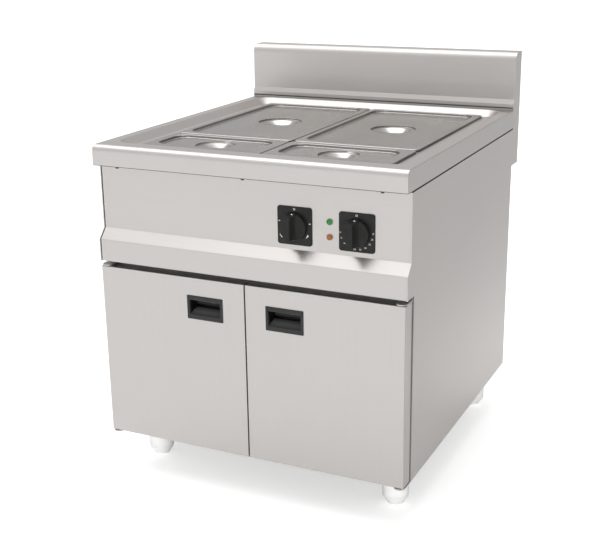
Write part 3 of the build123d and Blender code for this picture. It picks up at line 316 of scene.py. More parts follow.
brushing, given, put = effect(
    "brushing",
    [("Stretch", "NodeSocketVector", (8, 1200, 1200)), ("Roughness", "NodeSocketFloat", 0.4),
     ("Spread", "NodeSocketFloat", 0.1)],
    ["Stroke", "Roughness"])
drawn = stretched(brushing, given["Stretch"])
fine = combined(brushing, "MULTIPLY", noise(brushing, drawn, 1.0, 4.0), FINE_SHARE)
wide = combined(brushing, "MULTIPLY", noise(brushing, drawn, WIDE_SCALE, 2.0), WIDE_SHARE)
stroke = combined(brushing, "ADD", fine, wide)
lift = combined(brushing, "SUBTRACT", stroke, 0.5)
lift = combined(brushing, "MULTIPLY", lift, given["Spread"])
brushing.links.new(stroke, put["Stroke"])
brushing.links.new(combined(brushing, "ADD", given["Roughness"], lift), put["Roughness"])
print("effect:", brushing.name)

# %% Wiping marks
CLOUD_LEVELS, STREAK_LEVELS = (0.42, 0.68), (0.3, 0.7)
STREAK_SCALE, STREAK_LEAST = 7.0, 0.4

wiping, given, put = effect(
    "wiping", [("Scale", "NodeSocketVector", (5, 5, 5)), ("Amount", "NodeSocketFloat", 0.5)],
    ["Mask"])
drawn = stretched(wiping, given["Scale"])
cloud = ranged(wiping, noise(wiping, drawn, 1.0, 3.0), CLOUD_LEVELS, (0.0, 1.0))
streak = noise(wiping, drawn, STREAK_SCALE, 2.0)
streak = ranged(wiping, streak, STREAK_LEVELS, (STREAK_LEAST, 1.0))
mask = combined(wiping, "MULTIPLY", cloud, streak)
wiping.links.new(combined(wiping, "MULTIPLY", mask, given["Amount"]), put["Mask"])
print("effect:", wiping.name)

# %% Worn edges
BEVEL_SAMPLES = 4
EDGE_LEVELS = (0.99, 0.80)  # likeness of the two normals: no wear, full wear
GRIT_SCALE, GRIT_LEVELS, GRIT_LEAST = 420.0, (0.35, 0.65), 0.3

wear, given, put = effect(
    "edge_wear", [("Width", "NodeSocketFloat", 0.001), ("Amount", "NodeSocketFloat", 0.6)],
    ["Mask"])
rounded = node(wear, "ShaderNodeBevel")
rounded.samples = BEVEL_SAMPLES
wear.links.new(given["Width"], rounded.inputs["Radius"])
likeness = node(wear, "ShaderNodeVectorMath")
likeness.operation = "DOT_PRODUCT"
wear.links.new(rounded.outputs[0], likeness.inputs[0])
wear.links.new(node(wear, "ShaderNodeNewGeometry").outputs["Normal"], likeness.inputs[1])
edge = ranged(wear, likeness.outputs["Value"], EDGE_LEVELS, (0.0, 1.0))
grit = noise(wear, place(wear), GRIT_SCALE, 3.0)
edge = combined(wear, "MULTIPLY", edge, ranged(wear, grit, GRIT_LEVELS, (GRIT_LEAST, 1.0)))
wear.links.new(combined(wear, "MULTIPLY", edge, given["Amount"]), put["Mask"])
print("effect:", wear.name)

# %% [markdown]
# ## Stainless steel
# One recipe makes every steel sheet. It is not a perfect mirror: the strokes scatter light, so
# roughness is near a third outside, and lower on the bright lids and pans. A little less than
# full metal keeps the fronts even, as satin sheet looks under soft light. The strokes also
# feed a very small bump, wiped patches are duller, and worn edges brighter. Places that light
# hardly reaches get painted shade, a darker colour: steep walls in narrow gaps, told by their
# normal, and the apron's lower edge and the door tops, told by their height.

# %% Helpers for finishes
def use(tree, group, values):
    """Effect group placed in a material, with its own values."""
    made = node(tree, "ShaderNodeGroup")
    made.node_tree = group
    for socket, value in values.items():
        made.inputs[socket].default_value = value
    return made.outputs


def toned(colour, share):
    """Colour made darker or lighter."""
    return tuple(min(1.0, share * part) for part in colour)


def bumped(tree, principled, height, strength, depth):
    """Bump node that feeds a shader's normal."""
    bump = node(tree, "ShaderNodeBump", {"Strength": strength, "Distance": depth})
    tree.links.new(height, bump.inputs["Height"])
    tree.links.new(bump.outputs[0], principled.inputs["Normal"])


def leaning(tree, axis, start, end):
    """Mask of faces by how much of their normal lies along one axis."""
    facing = parts(tree, node(tree, "ShaderNodeNewGeometry").outputs["Normal"])
    return ranged(tree, combined(tree, "ABSOLUTE", facing[axis], 0.0), (start, end), (0.0, 1.0))


def faded(tree, tone, axis, start, end, colour, mask=None):
    """Colour that turns into another along one axis, between two places in millimetres."""
    along = parts(tree, place(tree))[axis]
    share = ranged(tree, along, (start * MM, end * MM), (0.0, 1.0))
    return mixed(tree, combined(tree, "MULTIPLY", share, mask) if mask else share, tone, colour)


print("effects to use:", ", ".join(group.name for group in bpy.data.node_groups))

# %% Steel recipe
ACROSS, UPRIGHT, INWARD = (7, 1100, 1100), (1100, 1100, 7), (1100, 7, 1100)
STROKE_DARK, STROKE_LIGHT = 0.955, 1.045  # shares of the colour
WIPED_TONE, WORN_TONE = 0.975, 1.22
WIPE_SCALE, WIPE_AMOUNT, WIPE_DULL = (3.2, 3.2, 4.1), 0.6, 0.05
WORN_WIDTH, WORN_AMOUNT = 0.0012, 0.25
STEEP = (0.6, 0.35)  # upward part of a normal: no wall, wall
STROKE_BUMP, STROKE_DEPTH = 0.12, 0.00004


def steel(name, colour, metal, roughness, strokes, spread=0.10, walls=None, shade_bands=()):
    """Brushed sheet with strokes along one axis. Walls give painted shade on steep faces: a share
    of the colour and the height above which it holds. Shade bands are painted shade with a start,
    an end and a colour."""
    material, tree, principled = shader(name)
    principled.inputs["Metallic"].default_value = metal
    grain = use(tree, brushing, {"Stretch": strokes, "Roughness": roughness, "Spread": spread})
    wiped = use(tree, wiping, {"Scale": WIPE_SCALE, "Amount": WIPE_AMOUNT})["Mask"]
    edge = use(tree, wear, {"Width": WORN_WIDTH, "Amount": WORN_AMOUNT})["Mask"]
    tone = mixed(tree, grain["Stroke"], toned(colour, STROKE_DARK), toned(colour, STROKE_LIGHT))
    tone = mixed(tree, combined(tree, "MULTIPLY", wiped, 0.5), tone, toned(colour, WIPED_TONE))
    tone = mixed(tree, edge, tone, toned(colour, WORN_TONE))
    # Painted shade where light hardly reaches: on steep walls, and in bands of height.
    if walls:
        share, height = walls
        tone = faded(tree, tone, "Z", height - 1, height, toned(colour, share),
                     leaning(tree, "Z", *STEEP))
    for start, end, shade_colour in shade_bands:
        tone = faded(tree, tone, "Z", start, end, shade_colour)
    tree.links.new(tone, principled.inputs["Base Color"])
    dulled = combined(tree, "MULTIPLY", wiped, WIPE_DULL)
    rough = combined(tree, "ADD", grain["Roughness"], dulled)
    tree.links.new(rough, principled.inputs["Roughness"])
    bumped(tree, principled, grain["Stroke"], STROKE_BUMP, STROKE_DEPTH)
    return material


print("strokes are drawn out", ACROSS[1] // ACROSS[0], "times")

# %% Steel finishes
SATIN, SATIN_METAL, SATIN_ROUGH = (0.628, 0.601, 0.582), 0.88, 0.30
APRON_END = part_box("worktop")[0].z / MM
DOOR_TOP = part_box("door_left_skin")[1].z / MM
# Painted shade: a dark line along the apron's lower edge, standing in for the shadow under it.
APRON_SHADE_LINE = [(APRON_END + 1.6, APRON_END + 1.0, (0.12, 0.11, 0.10))]
# Painted shade: the door tops darker, standing in for the dark gap under the panel's lip.
DOOR_TOP_SHADE = [(DOOR_TOP - 0.8, DOOR_TOP - 0.3, (0.27, 0.26, 0.25))]
# Painted shade on steep walls of the lids and the pans' rims: a share of the colour, and the height
# above which it holds.
LID_WALL_SHADE = (0.35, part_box("lid_rear_left")[0].z / MM)  # all of them
PAN_WALL_SHADE = (0.15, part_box("pan_rear_left")[1].z / MM - 2.7)  # the rim alone

satin_across = steel("satin_steel_across", SATIN, SATIN_METAL, SATIN_ROUGH, ACROSS)
satin_upright = steel("satin_steel_upright", SATIN, SATIN_METAL, SATIN_ROUGH, UPRIGHT)
satin_doors = steel("satin_steel_doors", SATIN, SATIN_METAL, SATIN_ROUGH, UPRIGHT,
                    shade_bands=DOOR_TOP_SHADE)
satin_upstand = steel("satin_steel_upstand", SATIN, SATIN_METAL, 0.42, ACROSS)
top_steel = steel("worktop_steel", (0.64, 0.615, 0.595), SATIN_METAL, 0.36, ACROSS, shade_bands=APRON_SHADE_LINE)
lid_steel = steel("lid_steel", (0.58, 0.558, 0.54), 0.98, 0.25, ACROSS, 0.06, LID_WALL_SHADE)
pan_steel = steel("pan_steel_bright", (0.62, 0.60, 0.585), 0.95, 0.22, ACROSS, 0.08, PAN_WALL_SHADE)
inner_steel = steel("mill_steel", (0.58, 0.565, 0.55), 0.85, 0.45, UPRIGHT, 0.14)
bracket_steel = steel("zinc_steel", (0.62, 0.62, 0.60), 0.9, 0.38, INWARD, 0.16)
dark_steel = steel("blackened_steel", (0.10, 0.10, 0.10), 0.8, 0.45, INWARD, 0.16)
print("steel finishes:", sum(1 for m in bpy.data.materials if "steel" in m.name))

# %% [markdown]
# ## Moulded plastics, lenses and metals inside
# Plastic mouldings have a fine spark-eroded texture from their mould, a noise far smaller than
# a millimetre, and their edges are rubbed. One recipe serves black, white, grey and red with
# other numbers. In the door pulls it also paints light and shade further in: a painted highlight
# makes the floor paler, and painted shade makes the sides and slot darker. Brass dulls in
# patches, and heater tubes turn brown with heat.

# %% Plastics
MOULD_WIPE, MOULD_AMOUNT, RUBBED_WIDTH = (14, 14, 14), 0.8, 0.0008
PIT_SHARE, PIT_LEVELS, PIT_ROUGH, PIT_BUMP = 0.25, (0.3, 0.7), 0.06, 0.35
WIPE_SHINE = -0.08
SIDE_LEAN = (0.4, 0.7)
PULL_DEEP = 33.0  # from the door's face to the back of a pull
DOOR_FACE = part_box("door_left_skin")[0].y / MM
# Painted light and shade in the pulls: a paler floor where light falls in, darker sides, and a
# black slot.
PULL_LIGHT_AND_SHADE = [(DOOR_FACE, DOOR_FACE + 16, (0.14, 0.142, 0.142), "Z"),
              (DOOR_FACE + 1, DOOR_FACE + 8, (0.004, 0.004, 0.004), "X"),
              (DOOR_FACE + PULL_DEEP, DOOR_FACE + PULL_DEEP + 0.8, (0.001, 0.001, 0.001), None)]


def plastic(name, colour, roughness, texture, worn_colour, worn=0.5, depth=0.00005, shine=0.5,
            painted_inwards=()):
    """Moulded plastic with a fine texture, wiped patches, rubbed edges, and painted light and shade
    further in, on faces that lean along an axis."""
    material, tree, principled = shader(name)
    principled.inputs["Specular IOR Level"].default_value = shine
    pits = noise(tree, place(tree), texture, 2.0)
    wiped = use(tree, wiping, {"Scale": MOULD_WIPE, "Amount": MOULD_AMOUNT})["Mask"]
    edge = use(tree, wear, {"Width": RUBBED_WIDTH, "Amount": worn})["Mask"]
    tone = mixed(tree, wiped, colour, tuple(0.5 * (a + b) for a, b in zip(colour, worn_colour)))
    tone = mixed(tree, combined(tree, "MULTIPLY", pits, PIT_SHARE), tone, worn_colour)
    tone = mixed(tree, edge, tone, worn_colour)
    # Painted light and shade, further in from the door's face.
    for start, end, painted_colour, axis in painted_inwards:
        mask = leaning(tree, axis, *SIDE_LEAN) if axis else None
        tone = faded(tree, tone, "Y", start, end, painted_colour, mask)
    tree.links.new(tone, principled.inputs["Base Color"])
    rough = ranged(tree, pits, PIT_LEVELS, (roughness - PIT_ROUGH, roughness + PIT_ROUGH))
    rough = combined(tree, "ADD", rough, combined(tree, "MULTIPLY", wiped, WIPE_SHINE))
    tree.links.new(rough, principled.inputs["Roughness"])
    bumped(tree, principled, pits, PIT_BUMP, depth)
    return material


black_plastic = plastic("black_moulding", (0.012, 0.012, 0.0115), 0.46, 1900,
                        (0.035, 0.035, 0.034), shine=0.24)
pull_plastic = plastic("pull_moulding", (0.021, 0.022, 0.022), 0.45, 1500,
                       (0.05, 0.05, 0.049), shine=0.25, painted_inwards=PULL_LIGHT_AND_SHADE)
white_plastic = plastic("white_moulding", (0.93, 0.93, 0.92), 0.42, 1300, (0.82, 0.81, 0.79), 0.3)
grey_plastic = plastic("grey_moulding", (0.36, 0.36, 0.35), 0.5, 1700, (0.5, 0.5, 0.49))
red_plastic = plastic("red_dip", (0.42, 0.035, 0.03), 0.38, 700, (0.5, 0.10, 0.08), 0.4)
magnet_black = plastic("magnet_ferrite", (0.05, 0.05, 0.052), 0.55, 2600, (0.11, 0.11, 0.115))
ink = plastic("dial_ink", (0.62, 0.62, 0.60), 0.55, 2400, (0.50, 0.50, 0.48), 0.2, 0.00001)
print("plastics with pulls", PULL_DEEP, "mm deep")

# %% Lenses, brass and heater tubes
LENS_CELLS, LENS_LEVELS, LENS_COAT, LENS_ROUGH = 620.0, (0.0, 0.7), 0.6, (0.12, 0.24)
LENS_BUMP, LENS_DEPTH = 0.3, 0.0001
AGED_METAL, AGED_LEVELS, AGED_EDGE = 0.95, (0.35, 0.7), 1.3
AGED_ROUGH, TURNED_ROUGH, TURNED_SCALE, TURNED_BUMP = 0.16, 0.06, 1600.0, 0.2


def lens_plastic(name, colour, deep):
    """Clear coloured plastic over a ribbed inside: darker between its fine cells."""
    material, tree, principled = shader(name)
    principled.inputs["Coat Weight"].default_value = LENS_COAT
    cells = node(tree, "ShaderNodeTexVoronoi", {"Scale": LENS_CELLS})
    tree.links.new(place(tree), cells.inputs["Vector"])
    shade = ranged(tree, cells.outputs["Distance"], LENS_LEVELS, (0.0, 1.0))
    tree.links.new(mixed(tree, shade, colour, deep), principled.inputs["Base Color"])
    rough = ranged(tree, shade, (0.0, 1.0), LENS_ROUGH)
    tree.links.new(rough, principled.inputs["Roughness"])
    bumped(tree, principled, shade, LENS_BUMP, LENS_DEPTH)
    return material


def aged_metal(name, colour, aged, roughness, scale):
    """Bare metal with slow patches of tarnish and a finely turned surface."""
    material, tree, principled = shader(name)
    principled.inputs["Metallic"].default_value = AGED_METAL
    patch = ranged(tree, noise(tree, place(tree), scale, 4.0), AGED_LEVELS, (0.0, 1.0))
    fine = noise(tree, place(tree), TURNED_SCALE, 2.0)
    edge = use(tree, wear, {"Width": RUBBED_WIDTH, "Amount": 0.5})["Mask"]
    tone = mixed(tree, edge, mixed(tree, patch, colour, aged), toned(colour, AGED_EDGE))
    tree.links.new(tone, principled.inputs["Base Color"])
    rough = ranged(tree, patch, (0.0, 1.0), (roughness, roughness + AGED_ROUGH))
    rough = combined(tree, "ADD", rough, combined(tree, "MULTIPLY", fine, TURNED_ROUGH))
    tree.links.new(rough, principled.inputs["Roughness"])
    bumped(tree, principled, fine, TURNED_BUMP, STROKE_DEPTH)
    return material


green_lens = lens_plastic("green_lens_clear", (0.014, 0.21, 0.03), (0.008, 0.17, 0.025))
amber_lens = lens_plastic("amber_lens_clear", (0.34, 0.122, 0.022), (0.25, 0.075, 0.013))
brass = aged_metal("brass_fitting", (0.72, 0.58, 0.34), (0.42, 0.32, 0.18), 0.28, 40)
heater_sheath = aged_metal("heater_sheath", (0.36, 0.33, 0.32), (0.20, 0.15, 0.13), 0.42, 25)
print(len(bpy.data.materials), "materials in all")

# %% [markdown]
# ## Dress the CAD nodes
# Each CAD node has one material slot, named in its record. Putting a finish into that slot
# changes its look and leaves its mesh alone. Steel sheets take the brushing direction of the
# sheet that they were cut from: upright on doors and sides, across on the panel and upstand.

# %% Give every node its finish
FINISH = {
    "steel": satin_across, "inner_steel": inner_steel, "pan_steel": pan_steel,
    "hinge_steel": bracket_steel, "black_plastic": black_plastic, "grey_plastic": grey_plastic,
    "magnet": magnet_black, "white_plastic": white_plastic, "green_lens": green_lens,
    "amber_lens": amber_lens, "element_sheath": heater_sheath, "brass": brass,
    "lever_red": red_plastic,
}
for part in frame["record"]["subparts"]:
    name = part["node"]
    look = FINISH[part["material_slot"]]
    if look is satin_across and name.startswith(("door", "side_panel", "upstand_cheeks")):
        look = satin_doors if "_skin" in name else satin_upright
    if name == "upstand_shell":
        look = satin_upstand
    if name == "worktop":
        look = top_steel
    if name.startswith("lid_"):
        look = lid_steel
    nodes[name].material_slots[0].material = look

# %% [markdown]
# ## Tools for small moulded pieces
# The CAD solids carry the large forms. The small fittings get their detail here: rounded rims,
# screw recesses and print. Shapes are drawn in millimetres at the origin, facing up, then
# turned and moved to their place, and a last helper makes one mesh of them, in metres.

# %% Helpers for pieces
UPWARDS = Matrix.Identity(4)
FORWARDS = Matrix.Rotation(pi / 2, 4, "X")  # a shape that faced up now faces the front
SHARP, CREASE = radians(40), radians(35)  # what is rounded over, and what is shaded sharp


def raised(shape, thick):
    """Flat faces pulled up into a plate."""
    grown = bmesh.ops.extrude_face_region(shape, geom=shape.faces[:])["geom"]
    points = [item for item in grown if isinstance(item, bmesh.types.BMVert)]
    bmesh.ops.translate(shape, vec=(0, 0, thick), verts=points)
    bmesh.ops.recalc_face_normals(shape, faces=shape.faces)


def softened(shape, width, segments=2, chosen=None):
    """Sharp convex edges rounded over, and where asked, only chosen ones."""
    sharp = [edge for edge in shape.edges if edge.is_manifold
             and edge.calc_face_angle_signed() > SHARP and (chosen is None or chosen(edge))]
    bmesh.ops.bevel(shape, geom=sharp, offset=width, offset_type="OFFSET", segments=segments,
                    profile=0.5, affect="EDGES", material=-1, clamp_overlap=True)
    return shape


def placed(shape, spot, facing=UPWARDS):
    """Shape turned to face a way and moved to its spot, still in millimetres."""
    bmesh.ops.transform(shape, matrix=Matrix.Translation(spot) @ facing, verts=shape.verts)
    return shape


def piece(name, shapes, look, body, slot, *replaced):
    """One piece from shapes in millimetres: riding on a body, in place of some nodes."""
    mesh = bpy.data.meshes.new(name)
    whole = bmesh.new()
    for shape in shapes:
        shape.to_mesh(mesh)
        whole.from_mesh(mesh)
        shape.free()
    bmesh.ops.scale(whole, vec=(MM, MM, MM), verts=whole.verts)
    whole.to_mesh(mesh)
    triangles = len(whole.calc_loop_triangles())
    whole.free()
    mesh.shade_smooth()
    mesh.set_sharp_from_angle(angle=CREASE)
    mesh.materials.append(look)
    made = linked(name, mesh)
    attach(made, body)
    if replaced:
        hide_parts(*replaced)
    print(name, triangles, "triangles on", body)


def middle(name):
    """Centre of a CAD node's box, in millimetres."""
    low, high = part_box(name)
    return (low + high) / 2 / MM


DIALS = {"switch": middle("switch_plate"), "thermostat": middle("thermostat_plate")}
print("dials at", {dial: round(spot.x, 1) for dial, spot in DIALS.items()}, "mm from the middle")

# %% [markdown]
# ## Dial plates
# Each knob turns over a black moulded plate with a printed scale. A plate is a sheet with
# round corners and a hole for the spindle. The outline is a rectangle whose corners are
# bevelled, the hole a circle with as many points, and bridging the two gives the face, which
# needs no boolean. Only the front rim is rounded, because the back lies on the panel.

# %% Two dial plates
PLATE_WIDE, PLATE_HIGH, PLATE_THICK = 85.0, 89.0, 3.0
PLATE_CORNER, CORNER_STEPS, PLATE_SOFT = 6.0, 7, 0.7
SPINDLE_HOLE = 9.0
PANEL_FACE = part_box("switch_plate")[1].y / MM
PLATE_FRONT = PANEL_FACE - PLATE_THICK


def rounded_face(wide, high, corner, segments):
    """Flat face with round corners."""
    shape = bmesh.new()
    bmesh.ops.create_grid(shape, x_segments=1, y_segments=1, size=0.5)
    bmesh.ops.scale(shape, vec=(wide, high, 1), verts=shape.verts)
    bmesh.ops.bevel(shape, geom=shape.verts[:], offset=corner, segments=segments, profile=0.5,
                    affect="VERTICES", material=-1)
    return shape


def at_front(edge):
    """Whether an edge of a plate lies on its front."""
    return min(point.co.z for point in edge.verts) > PLATE_THICK - 0.1


def dial_plate():
    """Plate facing up: rounded outline, spindle hole, soft front rim."""
    shape = rounded_face(PLATE_WIDE, PLATE_HIGH, PLATE_CORNER, CORNER_STEPS)
    bmesh.ops.delete(shape, geom=shape.faces[:], context="FACES_ONLY")
    bmesh.ops.create_circle(shape, segments=4 * (CORNER_STEPS + 1), radius=SPINDLE_HOLE / 2)
    bmesh.ops.bridge_loops(shape, edges=shape.edges[:])
    raised(shape, PLATE_THICK)
    return softened(shape, PLATE_SOFT, 3, at_front)


for dial, spot in DIALS.items():
    piece(dial + "_dial_plate", [placed(dial_plate(), (spot.x, PANEL_FACE, spot.z), FORWARDS)],
          black_plastic, "cabinet", "black_plastic", dial + "_plate")

# %% [markdown]
# ## Print on the plates
# The scale is white ink: a ring for off at the top, numbers round the thermostat, ticks and two
# widening bars round the switch. Print could be an image, but thin raised shapes stay sharp at
# any zoom and need no texture. Numbers start as text, which Blender turns into a mesh. Rings
# are spun from a profile, and so are most of the round pieces that follow.

# %% Shapes of the print
INK = 0.12  # thickness
SCALE_RADIUS = 38.6
OFF_INNER, OFF_OUTER, NUMBER_SIZE = 1.5, 2.6, 5.6
WELD = 0.0005


def turned(profile, sides):
    """Shape spun round Z from (radius, height) points, closed at the axis or as a ring."""
    shape = bmesh.new()
    points = [shape.verts.new((radius, 0, height)) for radius, height in profile]
    edges = [shape.edges.new(pair) for pair in zip(points, points[1:])]
    if profile[0][0] > 0 and profile[-1][0] > 0:
        edges.append(shape.edges.new((points[-1], points[0])))
    bmesh.ops.spin(shape, geom=points + edges, cent=(0, 0, 0), axis=(0, 0, 1), angle=2 * pi,
                   steps=sides, use_merge=True)
    bmesh.ops.remove_doubles(shape, verts=shape.verts, dist=WELD)
    bmesh.ops.recalc_face_normals(shape, faces=shape.faces)
    return shape


def off_ring():
    """Small ring that marks off."""
    return turned([(OFF_INNER, 0), (OFF_OUTER, 0), (OFF_OUTER, INK), (OFF_INNER, INK)], 24)


def number(text):
    """Number as a thin mesh, facing up."""
    words = bpy.data.curves.new("number", "FONT")
    words.body, words.size = text, NUMBER_SIZE
    words.align_x, words.align_y = "CENTER", "CENTER"
    words.extrude = INK / 2
    holder = linked("number", words)
    ready = holder.evaluated_get(bpy.context.evaluated_depsgraph_get())
    mesh = bpy.data.meshes.new_from_object(ready)
    shape = bmesh.new()
    shape.from_mesh(mesh)
    bmesh.ops.remove_doubles(shape, verts=shape.verts, dist=2 * WELD)
    bmesh.ops.translate(shape, vec=(0, 0, INK / 2), verts=shape.verts)
    bpy.data.objects.remove(holder)
    bpy.data.curves.remove(words)
    bpy.data.meshes.remove(mesh)
    return shape


def slab(wide, high, thick, corner, segments):
    """Flat plate with round corners, its back at height 0."""
    shape = rounded_face(wide, high, corner, segments)
    raised(shape, thick)
    return shape


def bar(start, end, radius, narrow, wide):
    """Arc whose width grows from one angle to the other, in degrees."""
    shape = bmesh.new()
    points = [shape.verts.new((radius + side * narrow / 2, 0, 0)) for side in (-1, 1)]
    edge = shape.edges.new(points)
    bmesh.ops.spin(shape, geom=points + [edge], cent=(0, 0, 0), axis=(0, 0, 1),
                   angle=radians(end - start), steps=8)
    for point in shape.verts:
        turn = abs(Vector((1, 0)).angle_signed(point.co.xy, 0))
        grown = narrow + (wide - narrow) * turn / radians(abs(end - start))
        side = 1 if point.co.length > radius else -1
        point.co = point.co.normalized() * (radius + side * grown / 2)
    raised(shape, INK)
    bmesh.ops.rotate(shape, matrix=Matrix.Rotation(radians(start), 3, "Z"), verts=shape.verts)
    return shape


print("print is", INK, "mm thick on a radius of", SCALE_RADIUS, "mm")

# %% Print the two scales
NUMBERS, SCALE_START, SCALE_STEP = 10, 1.5, -19.7  # the angles are in degrees
OFF_ANGLE, TICK_ANGLES = 90, (12, 166)
TICK_WIDE, TICK_LONG, TICK_CORNER = 2.0, 4.6, 0.6
BARS = [(-42, -29, SCALE_RADIUS, 1.0, 4.4), (-150, -137, SCALE_RADIUS + 4, 0.8, 2.2)]


def round_dial(shape, angle, upright=True):
    """Shape moved out from the dial's middle at an angle, kept upright or turned with it."""
    turn = UPWARDS if upright else Matrix.Rotation(radians(angle - 90), 4, "Z")
    out = Vector((SCALE_RADIUS * cos(radians(angle)), SCALE_RADIUS * sin(radians(angle)), 0))
    return placed(shape, out, turn)


scale = [round_dial(number(str(10 * (index + 1))), SCALE_START + SCALE_STEP * index)
         for index in range(NUMBERS)]
scale.append(round_dial(off_ring(), OFF_ANGLE))
stages = [round_dial(slab(TICK_WIDE, TICK_LONG, INK, TICK_CORNER, 2), angle, False)
          for angle in TICK_ANGLES]
stages += [bar(*values) for values in BARS]
stages.append(round_dial(off_ring(), OFF_ANGLE))
for dial, print_shapes in (("thermostat", scale), ("switch", stages)):
    spot = (DIALS[dial].x, PLATE_FRONT, DIALS[dial].z)
    piece(dial + "_print", [placed(shape, spot, FORWARDS) for shape in print_shapes], ink,
          "cabinet", "black_plastic")

# %% [markdown]
# ## Knobs
# Each knob is one black moulding: a round skirt and a tall grip bar whose flanks run out onto
# the skirt in a hollow curve. Such a curved top is easiest as a height over a flat grid. The
# grid's rows are fitted into the skirt's circle and drawn together at the bar. Each point is
# then lifted by a formula: full height on the bar, and a fall beside it that is slower near the
# bar's ends. Last, the rim is pulled down to make the skirt's wall.

# %% Two knobs
KNOB_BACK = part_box("switch_knob")[1].y / MM
SKIRT_RADIUS, SKIRT_HIGH, SKIRT_DRAFT = 32.5, 12.5, 1.0
GRIP_HIGH, GRIP_HALF, GRIP_REACH = 36.0, 4.6, 28.5
FLANK_MIDDLE, FLANK_END = 2.2, 4.2  # how far the flanks spread, at the bar's middle and ends
END_RUN = 3.0
KNOB_COLUMNS, KNOB_ROWS = 44, 72
BAR_COLUMNS = 0.4  # share of the columns that lies on the bar
ROW_LEAST, BAR_MOST, CROWDING = 0.6, 0.6, 1.7


def knob_height(x, y):
    """Height of the knob's top at a place on its disc."""
    beside = max(0.0, abs(x) - GRIP_HALF)
    beyond = max(0.0, abs(y) - GRIP_REACH + END_RUN)
    spread = FLANK_MIDDLE + (FLANK_END - FLANK_MIDDLE) * (y / GRIP_REACH) ** 2
    fall = exp(-beside / spread) * max(0.0, 1.0 - (beyond / END_RUN) ** 2)
    return SKIRT_HIGH + (GRIP_HIGH - SKIRT_HIGH) * fall


def knob():
    """Knob facing up, with its bar along Y."""
    shape = bmesh.new()
    bmesh.ops.create_grid(shape, x_segments=KNOB_COLUMNS, y_segments=KNOB_ROWS, size=1.0)
    radius = SKIRT_RADIUS - SKIRT_DRAFT
    for point in shape.verts:
        across, along = point.co.xy
        y = radius * sin(along * pi / 2)
        half = max(ROW_LEAST, (radius ** 2 - y ** 2) ** 0.5)
        near = min(GRIP_HALF, BAR_MOST * half)
        inner = min(1.0, abs(across) / BAR_COLUMNS)
        outer = max(0.0, abs(across) - BAR_COLUMNS) / (1.0 - BAR_COLUMNS)
        x = (near * inner + (half - near) * outer ** CROWDING) * (1 if across > 0 else -1)
        point.co = (x, y, knob_height(x, y))
    border = [edge for edge in shape.edges if edge.is_boundary]
    rim = bmesh.ops.extrude_edge_only(shape, edges=border)["geom"]
    for point in (item for item in rim if isinstance(item, bmesh.types.BMVert)):
        point.co = (point.co.x * SKIRT_RADIUS / radius, point.co.y * SKIRT_RADIUS / radius, 0)
    bmesh.ops.recalc_face_normals(shape, faces=shape.faces)
    return shape


for dial, spot in DIALS.items():
    shape = placed(knob(), (spot.x, KNOB_BACK, spot.z), FORWARDS)
    piece(dial + "_grip_knob", [shape], black_plastic, dial + "_dial", "black_plastic",
          dial + "_knob")

# %% [markdown]
# ## Knob pointers
# A white triangle on the skirt, above each grip, shows where the knob is set. It is a circle of
# three sides, pulled up by a paint's thickness. It rides on the knob, so it turns with it.

# %% Pointers
POINTER_RADIUS, POINTER_SIZE, POINTER_THICK = 29.8, 2.6, 0.15
POINTER_STRETCH = (1.3, 0.9, 1)


def pointer():
    """Thin triangle that points up."""
    shape = bmesh.new()
    bmesh.ops.create_circle(shape, segments=3, radius=POINTER_SIZE, cap_ends=True)
    bmesh.ops.scale(shape, vec=POINTER_STRETCH, verts=shape.verts)
    raised(shape, POINTER_THICK)
    return shape


for dial, spot in DIALS.items():
    above = (spot.x, KNOB_BACK - SKIRT_HIGH, spot.z + POINTER_RADIUS)
    piece(dial + "_pointer", [placed(pointer(), above, FORWARDS)], ink, dial + "_dial",
          "black_plastic")

# %% [markdown]
# ## Pilot lamps
# A lamp's lens is a clear coloured cap with steps moulded into it, which spread the light of the
# small bulb behind. A spun profile gives the steps as real rings, so they catch light.

# %% Lamp lenses
LENS_PROFILE = [(0, 0), (7.1, 0), (7.1, 1.2), (6.7, 1.9), (5.9, 2.2), (5.7, 2.0), (4.8, 2.5),
                (4.6, 2.3), (3.6, 2.8), (3.4, 2.6), (2.3, 2.95), (2.1, 2.75), (1.0, 3.0), (0, 3.0)]
LENS_SIDES = 40
for colour, look in (("green", green_lens), ("amber", amber_lens)):
    node_name = colour + "_lamp_lens"
    spot = middle(node_name)
    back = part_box(node_name)[1].y / MM
    shape = placed(turned(LENS_PROFILE, LENS_SIDES), (spot.x, back, spot.z), FORWARDS)
    piece(colour + "_stepped_lens", [shape], look, "cabinet", colour + "_lens", node_name)

# %% [markdown]
# ## Screws
# The screws under the apron and on the back are pan heads with a cross recess. The head is a
# spun dome, left open on top. The ring round that opening is pulled in at four places, which
# makes a cross of it, and the face that fills it is pushed down.

# %% Pan-head screws
DOWNWARDS = Matrix.Rotation(pi, 4, "X")
BACKWARDS = Matrix.Rotation(-pi / 2, 4, "X")
SCREW_SIDES = 16
DOME = [(0.5, 1.0), (0.72, 0.93), (0.9, 0.66), (1.0, 0.25), (1.0, 0.0)]  # shares of radius, height
CROSS_ARM, CROSS_WAIST = 0.15, 0.38  # half an arm's width, share of the head radius
CROSS_DEEP, CROSS_TAPER = 0.55, 0.7
APRON_HEAD, APRON_HEAD_HIGH, APRON_SHANK, APRON_LONG = 9.0, 4.4, 4.6, 9.0
BACK_HEAD, BACK_HEAD_HIGH, BACK_SHANK, BACK_LONG = 8.0, 2.4, 4.2, 1.0


